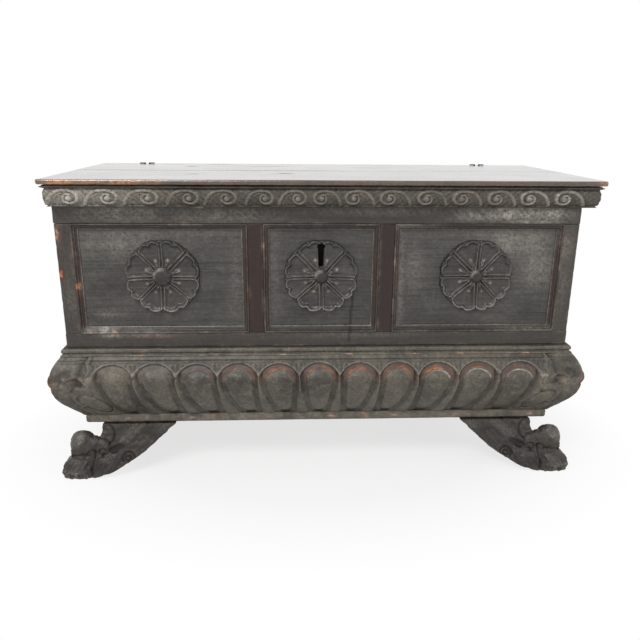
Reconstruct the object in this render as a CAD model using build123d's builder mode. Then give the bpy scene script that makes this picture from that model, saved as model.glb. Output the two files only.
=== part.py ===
from build123d import *
from math import cos, radians, sin
import os

# Carved walnut marriage chest on lion-paw feet, in millimetres.
# Origin: on the floor under the centre of the whole. +Z up, the front faces -Y.
# Two measures are used all over: "reach" is how far something stands out past the
# face of the case (negative is further in), and z is the height above the floor.

# Case
case_half_width = 576.0
case_depth = 454.0
case_top = 650.0
frame_thickness = 30.0
stile_setback = 1.0
stile_width = 33.0
muntin_width = 34.0
centre_opening = 257.0
top_rail_height = 39.5
bottom_rail_height = 33.0
side_stile_width = 58.0
tenon_length = 24.0
tenon_thickness = 10.0
back_thickness = 22.0
board_gap = 0.5

# Panels and their mouldings
panel_setback = 12.0
tongue_length = 7.5
tongue_thickness = 8.0
groove_clearance = 0.3
moulding_width = 14.0
moulding_proud = 2.5
mitre_gap = 0.3

# Rosettes
rosette_radius = 84.5
rosette_drop = 5.0
rosette_ground = 4.0
petal_relief = 7.0
petal_count = 8
side_boss_radius = 19.0
centre_boss_radius = 14.0
boss_relief = 16.0

# Base
leg_height = 130.0
fillet_height = 23.0
fillet_reach = -19.0
fillet_rounding = 7.0
gadroon_height = 158.0
base_reach = 42.0
carving_depth = 6.0
lobe_pitch = 93.3
lobe_count = 11
lobe_lean = 0.085
lobe_top_drop = 18.0
rim_width = 7.0
band_width = 6.0
bead_height = 18.0
bead_reach = 11.0
base_board_thickness = 22.0
bottom_thickness = 22.0

# Lid
lid_half_width = 598.5
lid_shift = 10.0
lid_front_reach = 42.0
lid_back_overhang = 24.0
plank_thickness = 26.0
nosing_thickness = 13.0
nosing_radius = 5.0
frieze_inset = 4.0
frieze_width = 46.0
frieze_height = 44.7
frieze_front_reach = 36.0
rim_clearance = 0.3
back_rail_thickness = 24.0
back_rail_setback = 6.0

# Iron
hinge_offset = 465.0
hinge_drop = 8.0
hinge_behind = 12.0
hinge_bar_radius = 2.7
hinge_clearance = 0.3
eye_wire = 6.5
eye_thickness = 5.0
eye_tail = 30.0
staple_half_gap = 6.5
staple_tail = 14.0
staple_tail_rise = 2.0
keyhole_top = 567.0
keyhole_bottom = 511.0
keyhole_radius = 9.0
keyhole_slot = 11.5
plate_half_width = 62.0
plate_thickness = 2.5
plate_top_drop = 4.0
plate_bottom_drop = 14.0
cover_half_width = 50.0
cover_depth = 24.0
cover_wall = 2.0
hasp_width = 6.0
hasp_depth = 16.0
hasp_room = 3.5
hasp_foot = 3.0
bolt_height = 10.0
bolt_depth = 6.0
bolt_length = 36.0
bolt_throw = 24.0
bolt_drop = 31.0
bolt_clearance = 0.3
nail_radius = 1.8
nail_head_radius = 4.5
nail_length = 16.0

# Feet
foot_back = 80.0
paw_back = 36.0
foot_front_top = 24.0
foot_front_low = -28.0
foot_low_height = 36.0
back_foot_thickness = 84.0

# Places worked out from the sizes above
front = -(case_depth + lid_back_overhang - base_reach) / 2
back = front + case_depth
inner_front = front + frame_thickness
inner_back = back - back_thickness
inner_half = case_half_width - frame_thickness
fillet_top = leg_height + fillet_height
gadroon_top = fillet_top + gadroon_height
rail_bottom = gadroon_top + bead_height
opening_bottom = rail_bottom + bottom_rail_height
opening_top = case_top - top_rail_height
stile_outer = case_half_width - stile_setback
stile_inner = stile_outer - stile_width
muntin_inner = centre_opening / 2
muntin_outer = muntin_inner + muntin_width
lid_bottom = case_top + rim_clearance
frieze_top = lid_bottom + frieze_height
lid_top = frieze_top + nosing_thickness
plank_bottom = lid_top - plank_thickness
lid_back = back + lid_back_overhang
hinge_y = back + hinge_behind
hinge_z = case_top - hinge_drop
eye_inner_radius = hinge_bar_radius + hinge_clearance
rosette_z = (opening_top + opening_bottom) / 2 + rosette_drop
side_opening_centre = (muntin_outer + stile_inner) / 2


def save(part, name):
    part.label = name
    export_step(part, "parts/" + name + ".step")


def side_name(side):
    return "left" if side < 0 else "right"


def block(x, y, z, mode=Mode.ADD):
    """A plain box between the two limits given for each direction."""
    with Locations(((x[0] + x[1]) / 2, (y[0] + y[1]) / 2, (z[0] + z[1]) / 2)):
        Box(abs(x[1] - x[0]), abs(y[1] - y[0]), abs(z[1] - z[0]), mode=mode)


def hole(x, y, z, radius, length, turn=(0, 0, 0), mode=Mode.SUBTRACT):
    with Locations(Location((x, y, z), turn)):
        Cylinder(radius, length, mode=mode)


def keyhole(y0, y1):
    """The round-topped keyhole cut between two depths."""
    block((-keyhole_slot / 2, keyhole_slot / 2), (y0, y1),
          (keyhole_bottom, keyhole_top - keyhole_radius), Mode.SUBTRACT)
    hole(0, (y0 + y1) / 2, keyhole_top - keyhole_radius, keyhole_radius, y1 - y0, (90, 0, 0))


os.makedirs("parts", exist_ok=True)

# --- Front frame -----------------------------------------------------------------

groove_y = (front + panel_setback + 4.0, front + panel_setback + 4.0 + tongue_thickness)
tenon_y = (front + 3.0, front + 3.0 + tenon_thickness)
posts = (
    ("front_stile_left", -stile_outer, -stile_inner),
    ("front_muntin_left", -muntin_outer, -muntin_inner),
    ("front_muntin_right", muntin_inner, muntin_outer),
    ("front_stile_right", stile_inner, stile_outer),
)
openings = (
    ("left", -stile_inner, -muntin_outer),
    ("centre", -muntin_inner, muntin_inner),
    ("right", muntin_outer, stile_inner),
)


def post_tenon(x0, x1, z0, z1, clearance, mode):
    shoulder = 5.0 - clearance
    block((x0 + shoulder, x1 - shoulder), (tenon_y[0] - clearance, tenon_y[1] + clearance),
          (z0, z1), mode)


def panel_groove(x0, x1, z0, z1):
    deep = tongue_length + groove_clearance
    block((x0 - deep, x1 + deep), groove_y, (z0 - deep, z1 + deep), Mode.SUBTRACT)


for name, x0, x1 in posts:
    with BuildPart() as post:
        block((x0, x1), (front, inner_front), (opening_bottom, opening_top))
        post_tenon(x0, x1, opening_bottom - tenon_length, opening_top + tenon_length, 0, Mode.ADD)
        for spot, left, right in openings:
            panel_groove(left, right, opening_bottom, opening_top)
    save(post.part, name)

plate_screw_z = (case_top - plate_top_drop - 8.0, keyhole_bottom - plate_bottom_drop + 8.0)
plate_screw_x = plate_half_width - 6.0

with BuildPart() as front_top_rail:
    block((-case_half_width, case_half_width), (front, inner_front), (opening_top, case_top))
    fillet(front_top_rail.edges().filter_by(Axis.Z).group_by(Axis.Y)[0], 6.0)
    for name, x0, x1 in posts:
        post_tenon(x0, x1, opening_top, opening_top + tenon_length + 1, 0.2, Mode.SUBTRACT)
    for spot, left, right in openings:
        panel_groove(left, right, opening_bottom, opening_top)
    for side in (-1, 1):
        hole(side * plate_screw_x, inner_front, plate_screw_z[0], nail_radius,
             2 * nail_length, (90, 0, 0))
save(front_top_rail.part, "front_top_rail")

with BuildPart() as front_bottom_rail:
    block((-case_half_width, case_half_width), (front, inner_front), (rail_bottom, opening_bottom))
    for name, x0, x1 in posts:
        post_tenon(x0, x1, opening_bottom - tenon_length - 1, opening_bottom, 0.2, Mode.SUBTRACT)
    for spot, left, right in openings:
        panel_groove(left, right, opening_bottom, opening_top)
save(front_bottom_rail.part, "front_bottom_rail")

for spot, left, right in openings:
    gap = groove_clearance
    with BuildPart() as panel:
        block((left + gap, right - gap), (front + panel_setback, inner_front),
              (opening_bottom + gap, opening_top - gap))
        block((left - tongue_length, right + tongue_length),
              (groove_y[0] + gap, groove_y[1] - gap),
              (opening_bottom - tongue_length, opening_top + tongue_length))
        if spot == "centre":
            keyhole(front, inner_front + 1)
            for side in (-1, 1):
                hole(side * plate_screw_x, inner_front, plate_screw_z[1], nail_radius,
                     2 * nail_length, (90, 0, 0))
    save(panel.part, "front_panel_" + spot)

# --- Panel mouldings --------------------------------------------------------------
# Outline of the moulding: how far in from the edge of the opening, how far out from
# the face of the panel.

moulding_rise = panel_setback + moulding_proud
moulding_outline = (
    (0, 0),
    (0, 1.0),
    (0.25, 1.0),
    (0.36, 0.88),
    (0.36, 0.68),
    (0.58, 0.72),
    (0.68, 0.55),
    (0.68, 0.32),
    (0.88, 0.30),
    (1.0, 0.15),
    (1.0, 0),
)


def moulding_stick(half_along, half_across, turn):
    """One side of a mitred panel moulding, lying on z = 0 round the origin."""
    points = [
        (across * moulding_width - half_across, rise * moulding_rise)
        for across, rise in moulding_outline
    ]
    section = Plane(origin=(-half_along, 0, 0), x_dir=(0, 1, 0), z_dir=(1, 0, 0)) * Polyline(
        *points, close=True
    )
    stick = extrude(make_face(section), amount=2 * half_along, dir=(1, 0, 0))
    for end in (-1, 1):
        cut = Plane(origin=(end * (half_along - mitre_gap), -half_across, 0), z_dir=(end, 1, 0))
        stick = split(stick, bisect_by=cut, keep=Keep.BOTTOM)
    return Rot(0, 0, turn) * stick


def moulding_frame(width, height):
    """The four mitred sticks of one panel, lying on z = 0 round the origin."""
    along = width / 2
    across = height / 2
    return [
        moulding_stick(along, across, 0),
        moulding_stick(across, along, 90),
        moulding_stick(along, across, 180),
        moulding_stick(across, along, 270),
    ]


panel_face = Plane(origin=(0, front + panel_setback, 0), x_dir=(1, 0, 0), z_dir=(0, -1, 0))
opening_height = opening_top - opening_bottom
opening_middle = (opening_top + opening_bottom) / 2

for spot, left, right in openings:
    place = panel_face.location * Pos((left + right) / 2, opening_middle, 0)
    sticks = [place * stick for stick in moulding_frame(right - left, opening_height)]
    with BuildPart() as panel_moulding:
        for stick in sticks:
            add(stick)
    save(panel_moulding.part, "panel_moulding_" + spot)

# --- Rosettes ----------------------------------------------------------------------

rosette_places = (
    ("left", -side_opening_centre, side_boss_radius),
    ("centre", 0.0, centre_boss_radius),
    ("right", side_opening_centre, centre_boss_radius),
)

for spot, x, boss_radius in rosette_places:
    face = Plane(origin=(x, front + panel_setback, rosette_z), x_dir=(1, 0, 0), z_dir=(0, -1, 0))
    petal_reach = rosette_radius * 0.36
    with BuildPart() as rosette:
        with BuildSketch(face):
            Circle(rosette_radius * 0.95)
            with PolarLocations(rosette_radius - petal_reach, petal_count, 22.5):
                Circle(petal_reach)
        extrude(amount=rosette_ground)
        for share in (0.5, 1.0):
            with BuildSketch(face.offset(rosette_ground)):
                with PolarLocations(rosette_radius * 0.62, petal_count, 22.5):
                    Ellipse(rosette_radius * (0.39 - 0.1 * share),
                            rosette_radius * (0.27 - 0.08 * share))
            extrude(amount=petal_relief * share)
        with BuildSketch(face.offset(rosette_ground)):
            with PolarLocations(rosette_radius * 0.55, petal_count):
                Rectangle(rosette_radius * 0.72, rosette_radius * 0.07)
        extrude(amount=petal_relief)
        dome_radius = (boss_radius ** 2 + boss_relief ** 2) / (2 * boss_relief)
        panel_y = front + panel_setback
        with Locations((x, panel_y - boss_relief + dome_radius, rosette_z)):
            Sphere(dome_radius)
        block((x - rosette_radius, x + rosette_radius), (panel_y, panel_y + 2 * dome_radius),
              (rosette_z - rosette_radius, rosette_z + rosette_radius), Mode.SUBTRACT)
        if spot == "centre":
            keyhole(front - boss_relief, front + panel_setback + 1)
    save(rosette.part, "rosette_" + spot)

# --- Sides ---------------------------------------------------------------------------

side_front = inner_front
side_back = back
side_open_front = side_front + side_stile_width
side_open_back = side_back - side_stile_width

for side in (-1, 1):
    outer = side * case_half_width
    stile_face = side * stile_outer
    inner = side * inner_half
    groove_x = (side * (case_half_width - panel_setback - 4.0),
                side * (case_half_width - panel_setback - 4.0 - tongue_thickness))
    tongue_x = (groove_x[0] - side * groove_clearance, groove_x[1] + side * groove_clearance)
    deep = tongue_length + groove_clearance
    groove_limits = (
        groove_x,
        (side_open_front - deep, side_open_back + deep),
        (opening_bottom - deep, opening_top + deep),
    )

    with BuildPart() as side_top_rail:
        block((inner, outer), (side_front, side_back), (opening_top, case_top))
        block(*groove_limits, Mode.SUBTRACT)
    save(side_top_rail.part, "side_top_rail_" + side_name(side))

    with BuildPart() as side_bottom_rail:
        block((inner, outer), (side_front, side_back), (rail_bottom, opening_bottom))
        block(*groove_limits, Mode.SUBTRACT)
    save(side_bottom_rail.part, "side_bottom_rail_" + side_name(side))

    with BuildPart() as side_stiles:
        block((inner, stile_face), (side_front, side_open_front), (opening_bottom, opening_top))
        block((inner, stile_face), (side_open_back, side_back), (opening_bottom, opening_top))
        block(*groove_limits, Mode.SUBTRACT)
    save(side_stiles.part, "side_stiles_" + side_name(side))

    panel_outer = side * (case_half_width - panel_setback)
    gap = groove_clearance
    with BuildPart() as side_panel:
        block((inner, panel_outer), (side_open_front + gap, side_open_back - gap),
              (opening_bottom + gap, opening_top - gap))
        block(tongue_x, (side_open_front - tongue_length, side_open_back + tongue_length),
              (opening_bottom - tongue_length, opening_top + tongue_length))
    save(side_panel.part, "side_panel_" + side_name(side))

    middle_y = (side_open_front + side_open_back) / 2
    face = Plane(origin=(panel_outer, middle_y, opening_middle), x_dir=(0, side, 0), z_dir=(side, 0, 0))
    frame = moulding_frame(side_open_back - side_open_front, opening_height)
    sticks = [face.location * stick for stick in frame]
    with BuildPart() as side_moulding:
        for stick in sticks:
            add(stick)
    save(side_moulding.part, "side_moulding_" + side_name(side))

# --- Back, bottom and the boards inside the base ------------------------------------------

board_height = (case_top - leg_height) / 3

with BuildPart() as back_boards:
    for number in range(3):
        low = leg_height + number * board_height
        high = low + board_height - (board_gap if number < 2 else 0)
        block((-inner_half, inner_half), (inner_back, back), (low, high))
    for side in (-1, 1):
        block((side * hinge_offset - eye_thickness / 2, side * hinge_offset + eye_thickness / 2),
              (inner_back - 1, back + 1),
              (hinge_z - eye_thickness / 2, hinge_z + eye_thickness / 2), Mode.SUBTRACT)
save(back_boards.part, "back_boards")

base_inner_front = inner_front + base_board_thickness
base_inner_half = inner_half - base_board_thickness
base_board_top = opening_bottom - 4.0

with BuildPart() as base_board_front:
    block((-inner_half, inner_half), (inner_front, base_inner_front), (leg_height, base_board_top))
save(base_board_front.part, "base_board_front")

for side in (-1, 1):
    with BuildPart() as base_board:
        block((side * base_inner_half, side * inner_half), (base_inner_front, inner_back),
              (leg_height, base_board_top))
    save(base_board.part, "base_board_" + side_name(side))

bottom_middle = (base_inner_front + inner_back) / 2

with BuildPart() as bottom_boards:
    block((-base_inner_half, base_inner_half), (base_inner_front, bottom_middle - board_gap / 2),
          (leg_height, leg_height + bottom_thickness))
    block((-base_inner_half, base_inner_half), (bottom_middle + board_gap / 2, inner_back),
          (leg_height, leg_height + bottom_thickness))
save(bottom_boards.part, "bottom_boards")

# --- Base mouldings -------------------------------------------------------------------------
# Each is a band round the front and both sides, mitred at the front corners.


def front_run(section):
    """A moulding along the front, from its section in reach and height."""
    length = 2 * (case_half_width + base_reach + 20)
    face = Plane(origin=(-length / 2, front, 0), x_dir=(0, -1, 0), z_dir=(-1, 0, 0))
    solid = extrude(face * section, amount=length, dir=(1, 0, 0))
    return mitre(solid)


def mitre(solid):
    """Cuts both ends of a front run on the corner mitres."""
    for end in (-1, 1):
        corner = Plane(origin=(end * (case_half_width - mitre_gap / 2), front, 0), z_dir=(end, 1, 0))
        solid = split(solid, bisect_by=corner, keep=Keep.BOTTOM)
    return solid


def side_run(section, side, back_end):
    """A moulding along one side, mitred at the front and square at the back."""
    start = front - base_reach - 20
    face = Plane(
        origin=(side * case_half_width, start, 0), x_dir=(side, 0, 0), z_dir=(0, -side, 0)
    )
    solid = extrude(face * section, amount=back_end - start, dir=(0, 1, 0))
    corner = Plane(
        origin=(side * (case_half_width + mitre_gap / 2), front, 0), z_dir=(-side, -1, 0)
    )
    return split(solid, bisect_by=corner, keep=Keep.BOTTOM)


fillet_section = Polyline(
    (-frame_thickness, leg_height),
    (fillet_reach - fillet_rounding, leg_height),
    (fillet_reach - fillet_rounding * 0.3, leg_height + fillet_rounding * 0.3),
    (fillet_reach, leg_height + fillet_rounding),
    (fillet_reach, fillet_top - 3.0),
    (fillet_reach - 2.0, fillet_top),
    (-frame_thickness, fillet_top),
    close=True,
)
bead_middle = rail_bottom - 4.5
bead_section = Polyline(
    (-frame_thickness, gadroon_top),
    (bead_reach + 2.0, gadroon_top),
    (bead_reach + 2.0, gadroon_top + 3.0),
    (bead_reach - 5.0, gadroon_top + 6.0),
    (bead_reach - 5.0, gadroon_top + 9.0),
    (bead_reach - 1.5, bead_middle - 4.0),
    (bead_reach, bead_middle - 1.5),
    (bead_reach, bead_middle + 1.5),
    (bead_reach - 1.5, bead_middle + 3.8),
    (bead_reach - 4.0, rail_bottom),
    (-frame_thickness, rail_bottom),
    close=True,
)

# Reach of the bulging base at each height above its foot, as shares of both.
bulge = (
    (-0.36, 0.0),
    (-0.16, 0.06),
    (0.36, 0.224),
    (0.76, 0.414),
    (0.95, 0.60),
    (1.0, 0.69),
    (0.95, 0.765),
    (0.80, 0.85),
    (0.57, 0.93),
    (0.33, 1.0),
)


def bulge_section(inset):
    points = [
        (reach * base_reach - inset, fillet_top + up * gadroon_height) for reach, up in bulge
    ]
    foot = (-frame_thickness, fillet_top)
    head = (-frame_thickness, gadroon_top)
    return make_face(
        [Line(foot, points[0]), Spline(*points), Line(points[-1], head), Line(head, foot)]
    )


def lobe_outline(middle, lean, spread, drop):
    """The arched outline of one lobe: narrow at its foot, round at its head."""
    foot = fillet_top - 1.0
    top = gadroon_top - drop
    shoulder = top - spread
    narrow = spread * 0.62
    return make_face([
        Line((middle + lean - narrow, foot), (middle - spread, shoulder)),
        ThreePointArc((middle - spread, shoulder), (middle, top), (middle + spread, shoulder)),
        Line((middle + spread, shoulder), (middle + lean + narrow, foot)),
        Line((middle + lean + narrow, foot), (middle + lean - narrow, foot)),
    ])


rim_spread = lobe_pitch / 2 - 1.0
rim_drop = lobe_top_drop - rim_width - band_width + 3.0


def lobes_in(places, lean_share):
    """All lobes of one run as flat faces: the rims with their bands cut out, and the cores."""
    faces = []
    for place in places:
        lean = -place * lean_share
        rim = lobe_outline(place, lean, rim_spread, rim_drop)
        band = lobe_outline(place, lean, rim_spread - rim_width, rim_drop + rim_width)
        core = lobe_outline(
            place, lean, rim_spread - rim_width - band_width, rim_drop + rim_width + band_width
        )
        faces.append(rim - band)
        faces.append(core)
    return faces


def leaf(corner):
    """The upright leaf beside a corner, as a flat outline."""
    side = 1 if corner > 0 else -1
    return make_face(Polyline(
        (corner, gadroon_top - 4.0),
        (corner - side * 52.0, gadroon_top - 12.0),
        (corner - side * 74.0, gadroon_top - 48.0),
        (corner - side * 70.0, fillet_top + 30.0),
        (corner - side * 96.0, fillet_top),
        (corner, fillet_top),
        close=True,
    ))


def carved(core, full, faces, plane, depth):
    """Leaves the full bulge standing only under the carved outlines."""
    stamps = Part() + [extrude(plane * face, amount=depth, dir=plane.z_dir) for face in faces]
    return core + (full & stamps)


front_lobes = [(number - (lobe_count - 1) / 2) * lobe_pitch for number in range(lobe_count)]
carve_plane = Plane(origin=(0, front + 20, 0), x_dir=(1, 0, 0), z_dir=(0, -1, 0))
corner_x = case_half_width + base_reach
stamps = lobes_in(front_lobes, lobe_lean) + [leaf(-corner_x), leaf(corner_x)]

front_full = front_run(bulge_section(0))
front_core = front_run(bulge_section(carving_depth))
front_carved = carved(front_core, front_full, stamps, carve_plane, base_reach + 30)
with BuildPart() as gadroon_front:
    add(front_carved)
save(gadroon_front.part, "gadroon_front")

side_lobes = [lobe_pitch * (number - 1.5) for number in range(4)]
for side in (-1, 1):
    full = side_run(bulge_section(0), side, back)
    core = side_run(bulge_section(carving_depth), side, back)
    plane = Plane(
        origin=(side * (case_half_width - 20), front + case_depth / 2 + 20, 0),
        x_dir=(0, side, 0), z_dir=(side, 0, 0),
    )
    stamps = lobes_in(side_lobes, 0) + [leaf(side * -(case_depth / 2 + 20 + base_reach))]
    side_carved = carved(core, full, stamps, plane, base_reach + 30)
    with BuildPart() as gadroon_side:
        add(side_carved)
    save(gadroon_side.part, "gadroon_" + side_name(side))

for name, section in (("base_fillet", fillet_section), ("base_bead", bead_section)):
    face = make_face(section)
    run = front_run(face)
    with BuildPart() as moulding:
        add(run)
    save(moulding.part, name + "_front")
    for side in (-1, 1):
        run = side_run(face, side, back)
        with BuildPart() as moulding:
            add(run)
        save(moulding.part, name + "_" + side_name(side))

# --- Feet -----------------------------------------------------------------------------------
# Outline of a foot seen from the front: distance from the middle of the chest, height.

sole_start = 556.0
foot_underside = ((344, 1.0), (418, 0.45), (452, 0.31), (466, 0.25), (492, 0.13), (530, 0.04),
                  (sole_start, 0))
paw_outline = ((600, 0), (612, 0.04), (616, 0.15), (610, 0.30), (592, 0.42), (595, 0.57),
               (591, 0.71), (580, 0.83), (567, 0.89), (554, 0.91), (541, 0.86), (531, 0.82),
               (524, 0.86), (521, 0.93))
neck = 520.0
toe_places = ((591, -7, 24.0), (560, -10, 22.0), (528, -6, 21.0))


def foot_face(side):
    under = [(side * x, up * leg_height) for x, up in foot_underside]
    over = [(side * x, up * leg_height) for x, up in paw_outline]
    return make_face([
        Polyline(*under),
        Line(under[-1], over[0]),
        Spline(*over),
        Polyline(over[-1], (side * neck, leg_height), under[0]),
    ])


for side in (-1, 1):
    rake = Plane(
        origin=(0, front + foot_front_top, leg_height),
        z_dir=(0, -(leg_height - foot_low_height), foot_front_top - foot_front_low),
    )
    inward = Plane(origin=(side * 470, front - 14, 0), z_dir=(-side * 0.42, -1, 0))
    outline = foot_face(side)
    with BuildPart() as foot:
        with BuildSketch(Plane(origin=(0, front + foot_back, 0), x_dir=(1, 0, 0), z_dir=(0, -1, 0))):
            add(outline)
        extrude(amount=foot_back - foot_front_low)
        split(bisect_by=rake, keep=Keep.BOTTOM)
        split(bisect_by=inward, keep=Keep.BOTTOM)
        split(bisect_by=Plane.XY, keep=Keep.TOP)
        block((side * (neck + 6), side * 640), (front + paw_back, front + foot_back + 1),
              (-1, leg_height + 1), Mode.SUBTRACT)
        for x, y, radius in toe_places:
            with Locations((side * x, front + y, radius)):
                Sphere(radius)
            with Locations((side * (x - 4), front + y + 16, radius * 2.2)):
                Sphere(radius * 0.95)
    save(foot.part, "foot_front_" + side_name(side))

    with BuildPart() as back_foot:
        with BuildSketch(Plane(origin=(0, back, 0), x_dir=(1, 0, 0), z_dir=(0, -1, 0))):
            add(outline)
        extrude(amount=back_foot_thickness)
        split(bisect_by=Plane.XY, keep=Keep.TOP)
    save(back_foot.part, "foot_back_" + side_name(side))

# --- Lid -------------------------------------------------------------------------------------

# The lid sits a little to the right of the case, and its boards overhang both ends.
lid_span = (lid_shift - lid_half_width, lid_shift + lid_half_width)
lid_front = front - lid_front_reach
plank_joint = (lid_front + lid_back) / 2
frieze_outer = lid_half_width - frieze_inset
frieze_inner = frieze_outer - frieze_width
inner_span = (lid_shift - frieze_inner, lid_shift + frieze_inner)
frieze_inner_y = front - frieze_front_reach + frieze_width
hasp_y = (inner_front + plate_thickness + hasp_room, inner_front + plate_thickness + hasp_room + hasp_depth)
hasp_nail_x = 14.0

with BuildPart() as lid_plank_front:
    block(lid_span, (lid_front, plank_joint), (frieze_top, lid_top))
    front_edges = lid_plank_front.edges().filter_by(Axis.X).group_by(Axis.Y)[0]
    end_edges = lid_plank_front.edges().filter_by(Axis.Y)
    fillet(front_edges + end_edges, nosing_radius)
    block(inner_span, (frieze_inner_y, plank_joint), (plank_bottom, frieze_top))
    for end in (-1, 1):
        hole(end * hasp_nail_x, (hasp_y[0] + hasp_y[1]) / 2, plank_bottom, nail_radius, nail_length * 2)
save(lid_plank_front.part, "lid_plank_front")

with BuildPart() as lid_plank_back:
    block(lid_span, (plank_joint + board_gap, lid_back), (frieze_top, lid_top))
    fillet(lid_plank_back.edges().filter_by(Axis.Y), nosing_radius)
    block(inner_span, (plank_joint + board_gap, lid_back), (plank_bottom, frieze_top))
    for side in (-1, 1):
        for leg in (-1, 1):
            hole(side * hinge_offset + leg * staple_half_gap, hinge_y, lid_top,
                 hinge_bar_radius, plank_thickness * 3)
save(lid_plank_back.part, "lid_plank_back")

# Outline of the frieze rail: distance from its inner face, share of its height.
frieze_steps = (
    (46, 1.0),
    (46, 0.91),
    (43, 0.89),
    (41, 0.84),
    (43.5, 0.80),
    (45.5, 0.66),
    (46, 0.52),
    (45, 0.36),
    (42.5, 0.20),
    (41, 0.15),
    (41, 0.0),
)
frieze_shift = lid_half_width - frieze_inset - frieze_width - case_half_width
frieze_points = [(frieze_shift, lid_bottom), (frieze_shift, frieze_top)]
for out, up in frieze_steps:
    frieze_points.append((frieze_shift + out, lid_bottom + up * frieze_height))
frieze_section = make_face(Polyline(*frieze_points, close=True))
frieze_corner_y = front - (frieze_front_reach - (frieze_outer - case_half_width))

front_rail = Pos(lid_shift, frieze_corner_y - front, 0) * front_run(frieze_section)
with BuildPart() as lid_frieze_front:
    add(front_rail)
save(lid_frieze_front.part, "lid_frieze_front")

for side in (-1, 1):
    rail_end = lid_back - 4.0 - (frieze_corner_y - front)
    side_rail = Pos(lid_shift, frieze_corner_y - front, 0) * side_run(frieze_section, side, rail_end)
    with BuildPart() as lid_frieze_side:
        add(side_rail)
    save(lid_frieze_side.part, "lid_frieze_" + side_name(side))

with BuildPart() as lid_back_rail:
    rail_back = back - back_rail_setback
    block(inner_span, (rail_back - back_rail_thickness, rail_back),
          (lid_bottom, plank_bottom))
save(lid_back_rail.part, "lid_back_rail")

# --- Hinges -----------------------------------------------------------------------------------
# A forged eye driven through the back board, and a staple that turns in it and is
# clenched over the top of the lid.

with BuildPart() as hinge_eyes:
    for side in (-1, 1):
        x = side * hinge_offset
        half = eye_thickness / 2
        hole(x, hinge_y, hinge_z, eye_inner_radius + eye_wire, eye_thickness, (0, 90, 0), Mode.ADD)
        block((x - half, x + half), (inner_back - eye_thickness, hinge_y - eye_inner_radius - 1),
              (hinge_z - half, hinge_z + half))
        block((x - half, x + half), (inner_back - eye_thickness, inner_back),
              (hinge_z - eye_tail, hinge_z + half))
        hole(x, hinge_y, hinge_z, eye_inner_radius, eye_thickness * 2, (0, 90, 0))
save(hinge_eyes.part, "hinge_eyes")

with BuildPart() as hinge_staples:
    for side in (-1, 1):
        x = side * hinge_offset
        hole(x, hinge_y, hinge_z, hinge_bar_radius, 2 * staple_half_gap, (0, 90, 0), Mode.ADD)
        for leg in (-1, 1):
            leg_x = x + leg * staple_half_gap
            with Locations((leg_x, hinge_y, hinge_z)):
                Sphere(hinge_bar_radius)
            leg_height_all = lid_top + staple_tail_rise - hinge_z
            hole(leg_x, hinge_y, hinge_z + leg_height_all / 2, hinge_bar_radius,
                 leg_height_all, mode=Mode.ADD)
            tail_end = leg_x + leg * staple_tail
            with BuildSketch(Plane.XY.offset(lid_top)):
                with BuildLine():
                    Polyline(
                        (leg_x, hinge_y - hinge_bar_radius),
                        (leg_x + leg * staple_tail * 0.5, hinge_y - hinge_bar_radius),
                        (tail_end, hinge_y),
                        (leg_x + leg * staple_tail * 0.5, hinge_y + hinge_bar_radius),
                        (leg_x, hinge_y + hinge_bar_radius),
                        close=True,
                    )
                make_face()
            extrude(amount=staple_tail_rise)
save(hinge_staples.part, "hinge_staples")

# --- Lock ---------------------------------------------------------------------------------------
# A plate nailed inside the front, a cover box on it, a sliding bolt in two guides, and a
# hasp that hangs from the lid into the cover.

plate_top = case_top - plate_top_drop
plate_bottom = keyhole_bottom - plate_bottom_drop
plate_back = inner_front + plate_thickness
bolt_z = case_top - bolt_drop
bolt_middle_y = (hasp_y[0] + hasp_y[1]) / 2
bolt_start = -hasp_width / 2 - 5.0
bolt_end = bolt_start + bolt_throw
guide_places = ((-40.0, -33.0), (-22.0, -14.0), (bolt_end - 7.0, bolt_end + 1.0))

with BuildPart() as lock_plate:
    block((-plate_half_width, plate_half_width), (inner_front, plate_back),
          (plate_bottom, plate_top))
    fillet(lock_plate.edges().filter_by(Axis.Y), 5.0)
    for x0, x1 in guide_places:
        block((x0, x1), (plate_back - 1, bolt_middle_y + bolt_depth / 2 + 3.0),
              (bolt_z - bolt_height / 2 - 4.0, bolt_z + bolt_height / 2 + 4.0))
        block((x0 - 1, x1 + 1),
              (bolt_middle_y - bolt_depth / 2 - bolt_clearance,
               bolt_middle_y + bolt_depth / 2 + bolt_clearance),
              (bolt_z - bolt_height / 2 - bolt_clearance,
               bolt_z + bolt_height / 2 + bolt_clearance), Mode.SUBTRACT)
    keyhole(inner_front - 1, plate_back + 1)
    for x in (-plate_screw_x, plate_screw_x):
        for z in plate_screw_z:
            hole(x, plate_back, z, nail_radius, plate_thickness * 4, (90, 0, 0))
save(lock_plate.part, "lock_plate")

cover_top = plate_top - 2.0
cover_bottom = plate_bottom + 4.0

with BuildPart() as lock_cover:
    block((-cover_half_width, cover_half_width), (plate_back, plate_back + cover_depth),
          (cover_bottom, cover_top))
    block((-cover_half_width + cover_wall, cover_half_width - cover_wall),
          (plate_back - 1, plate_back + cover_depth - cover_wall),
          (cover_bottom + cover_wall, cover_top - cover_wall), Mode.SUBTRACT)
    block((-hasp_width, hasp_width), (plate_back - 1, hasp_y[1] + 1.5),
          (cover_top - cover_wall - 1, cover_top + 1), Mode.SUBTRACT)
save(lock_cover.part, "lock_cover")

with BuildPart() as lock_bolt:
    block((bolt_start - bolt_length, bolt_start),
          (bolt_middle_y - bolt_depth / 2, bolt_middle_y + bolt_depth / 2),
          (bolt_z - bolt_height / 2, bolt_z + bolt_height / 2))
    chamfer(lock_bolt.edges().filter_by(Axis.Z).group_by(Axis.X)[-1], 1.0)
save(lock_bolt.part, "lock_bolt")

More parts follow.
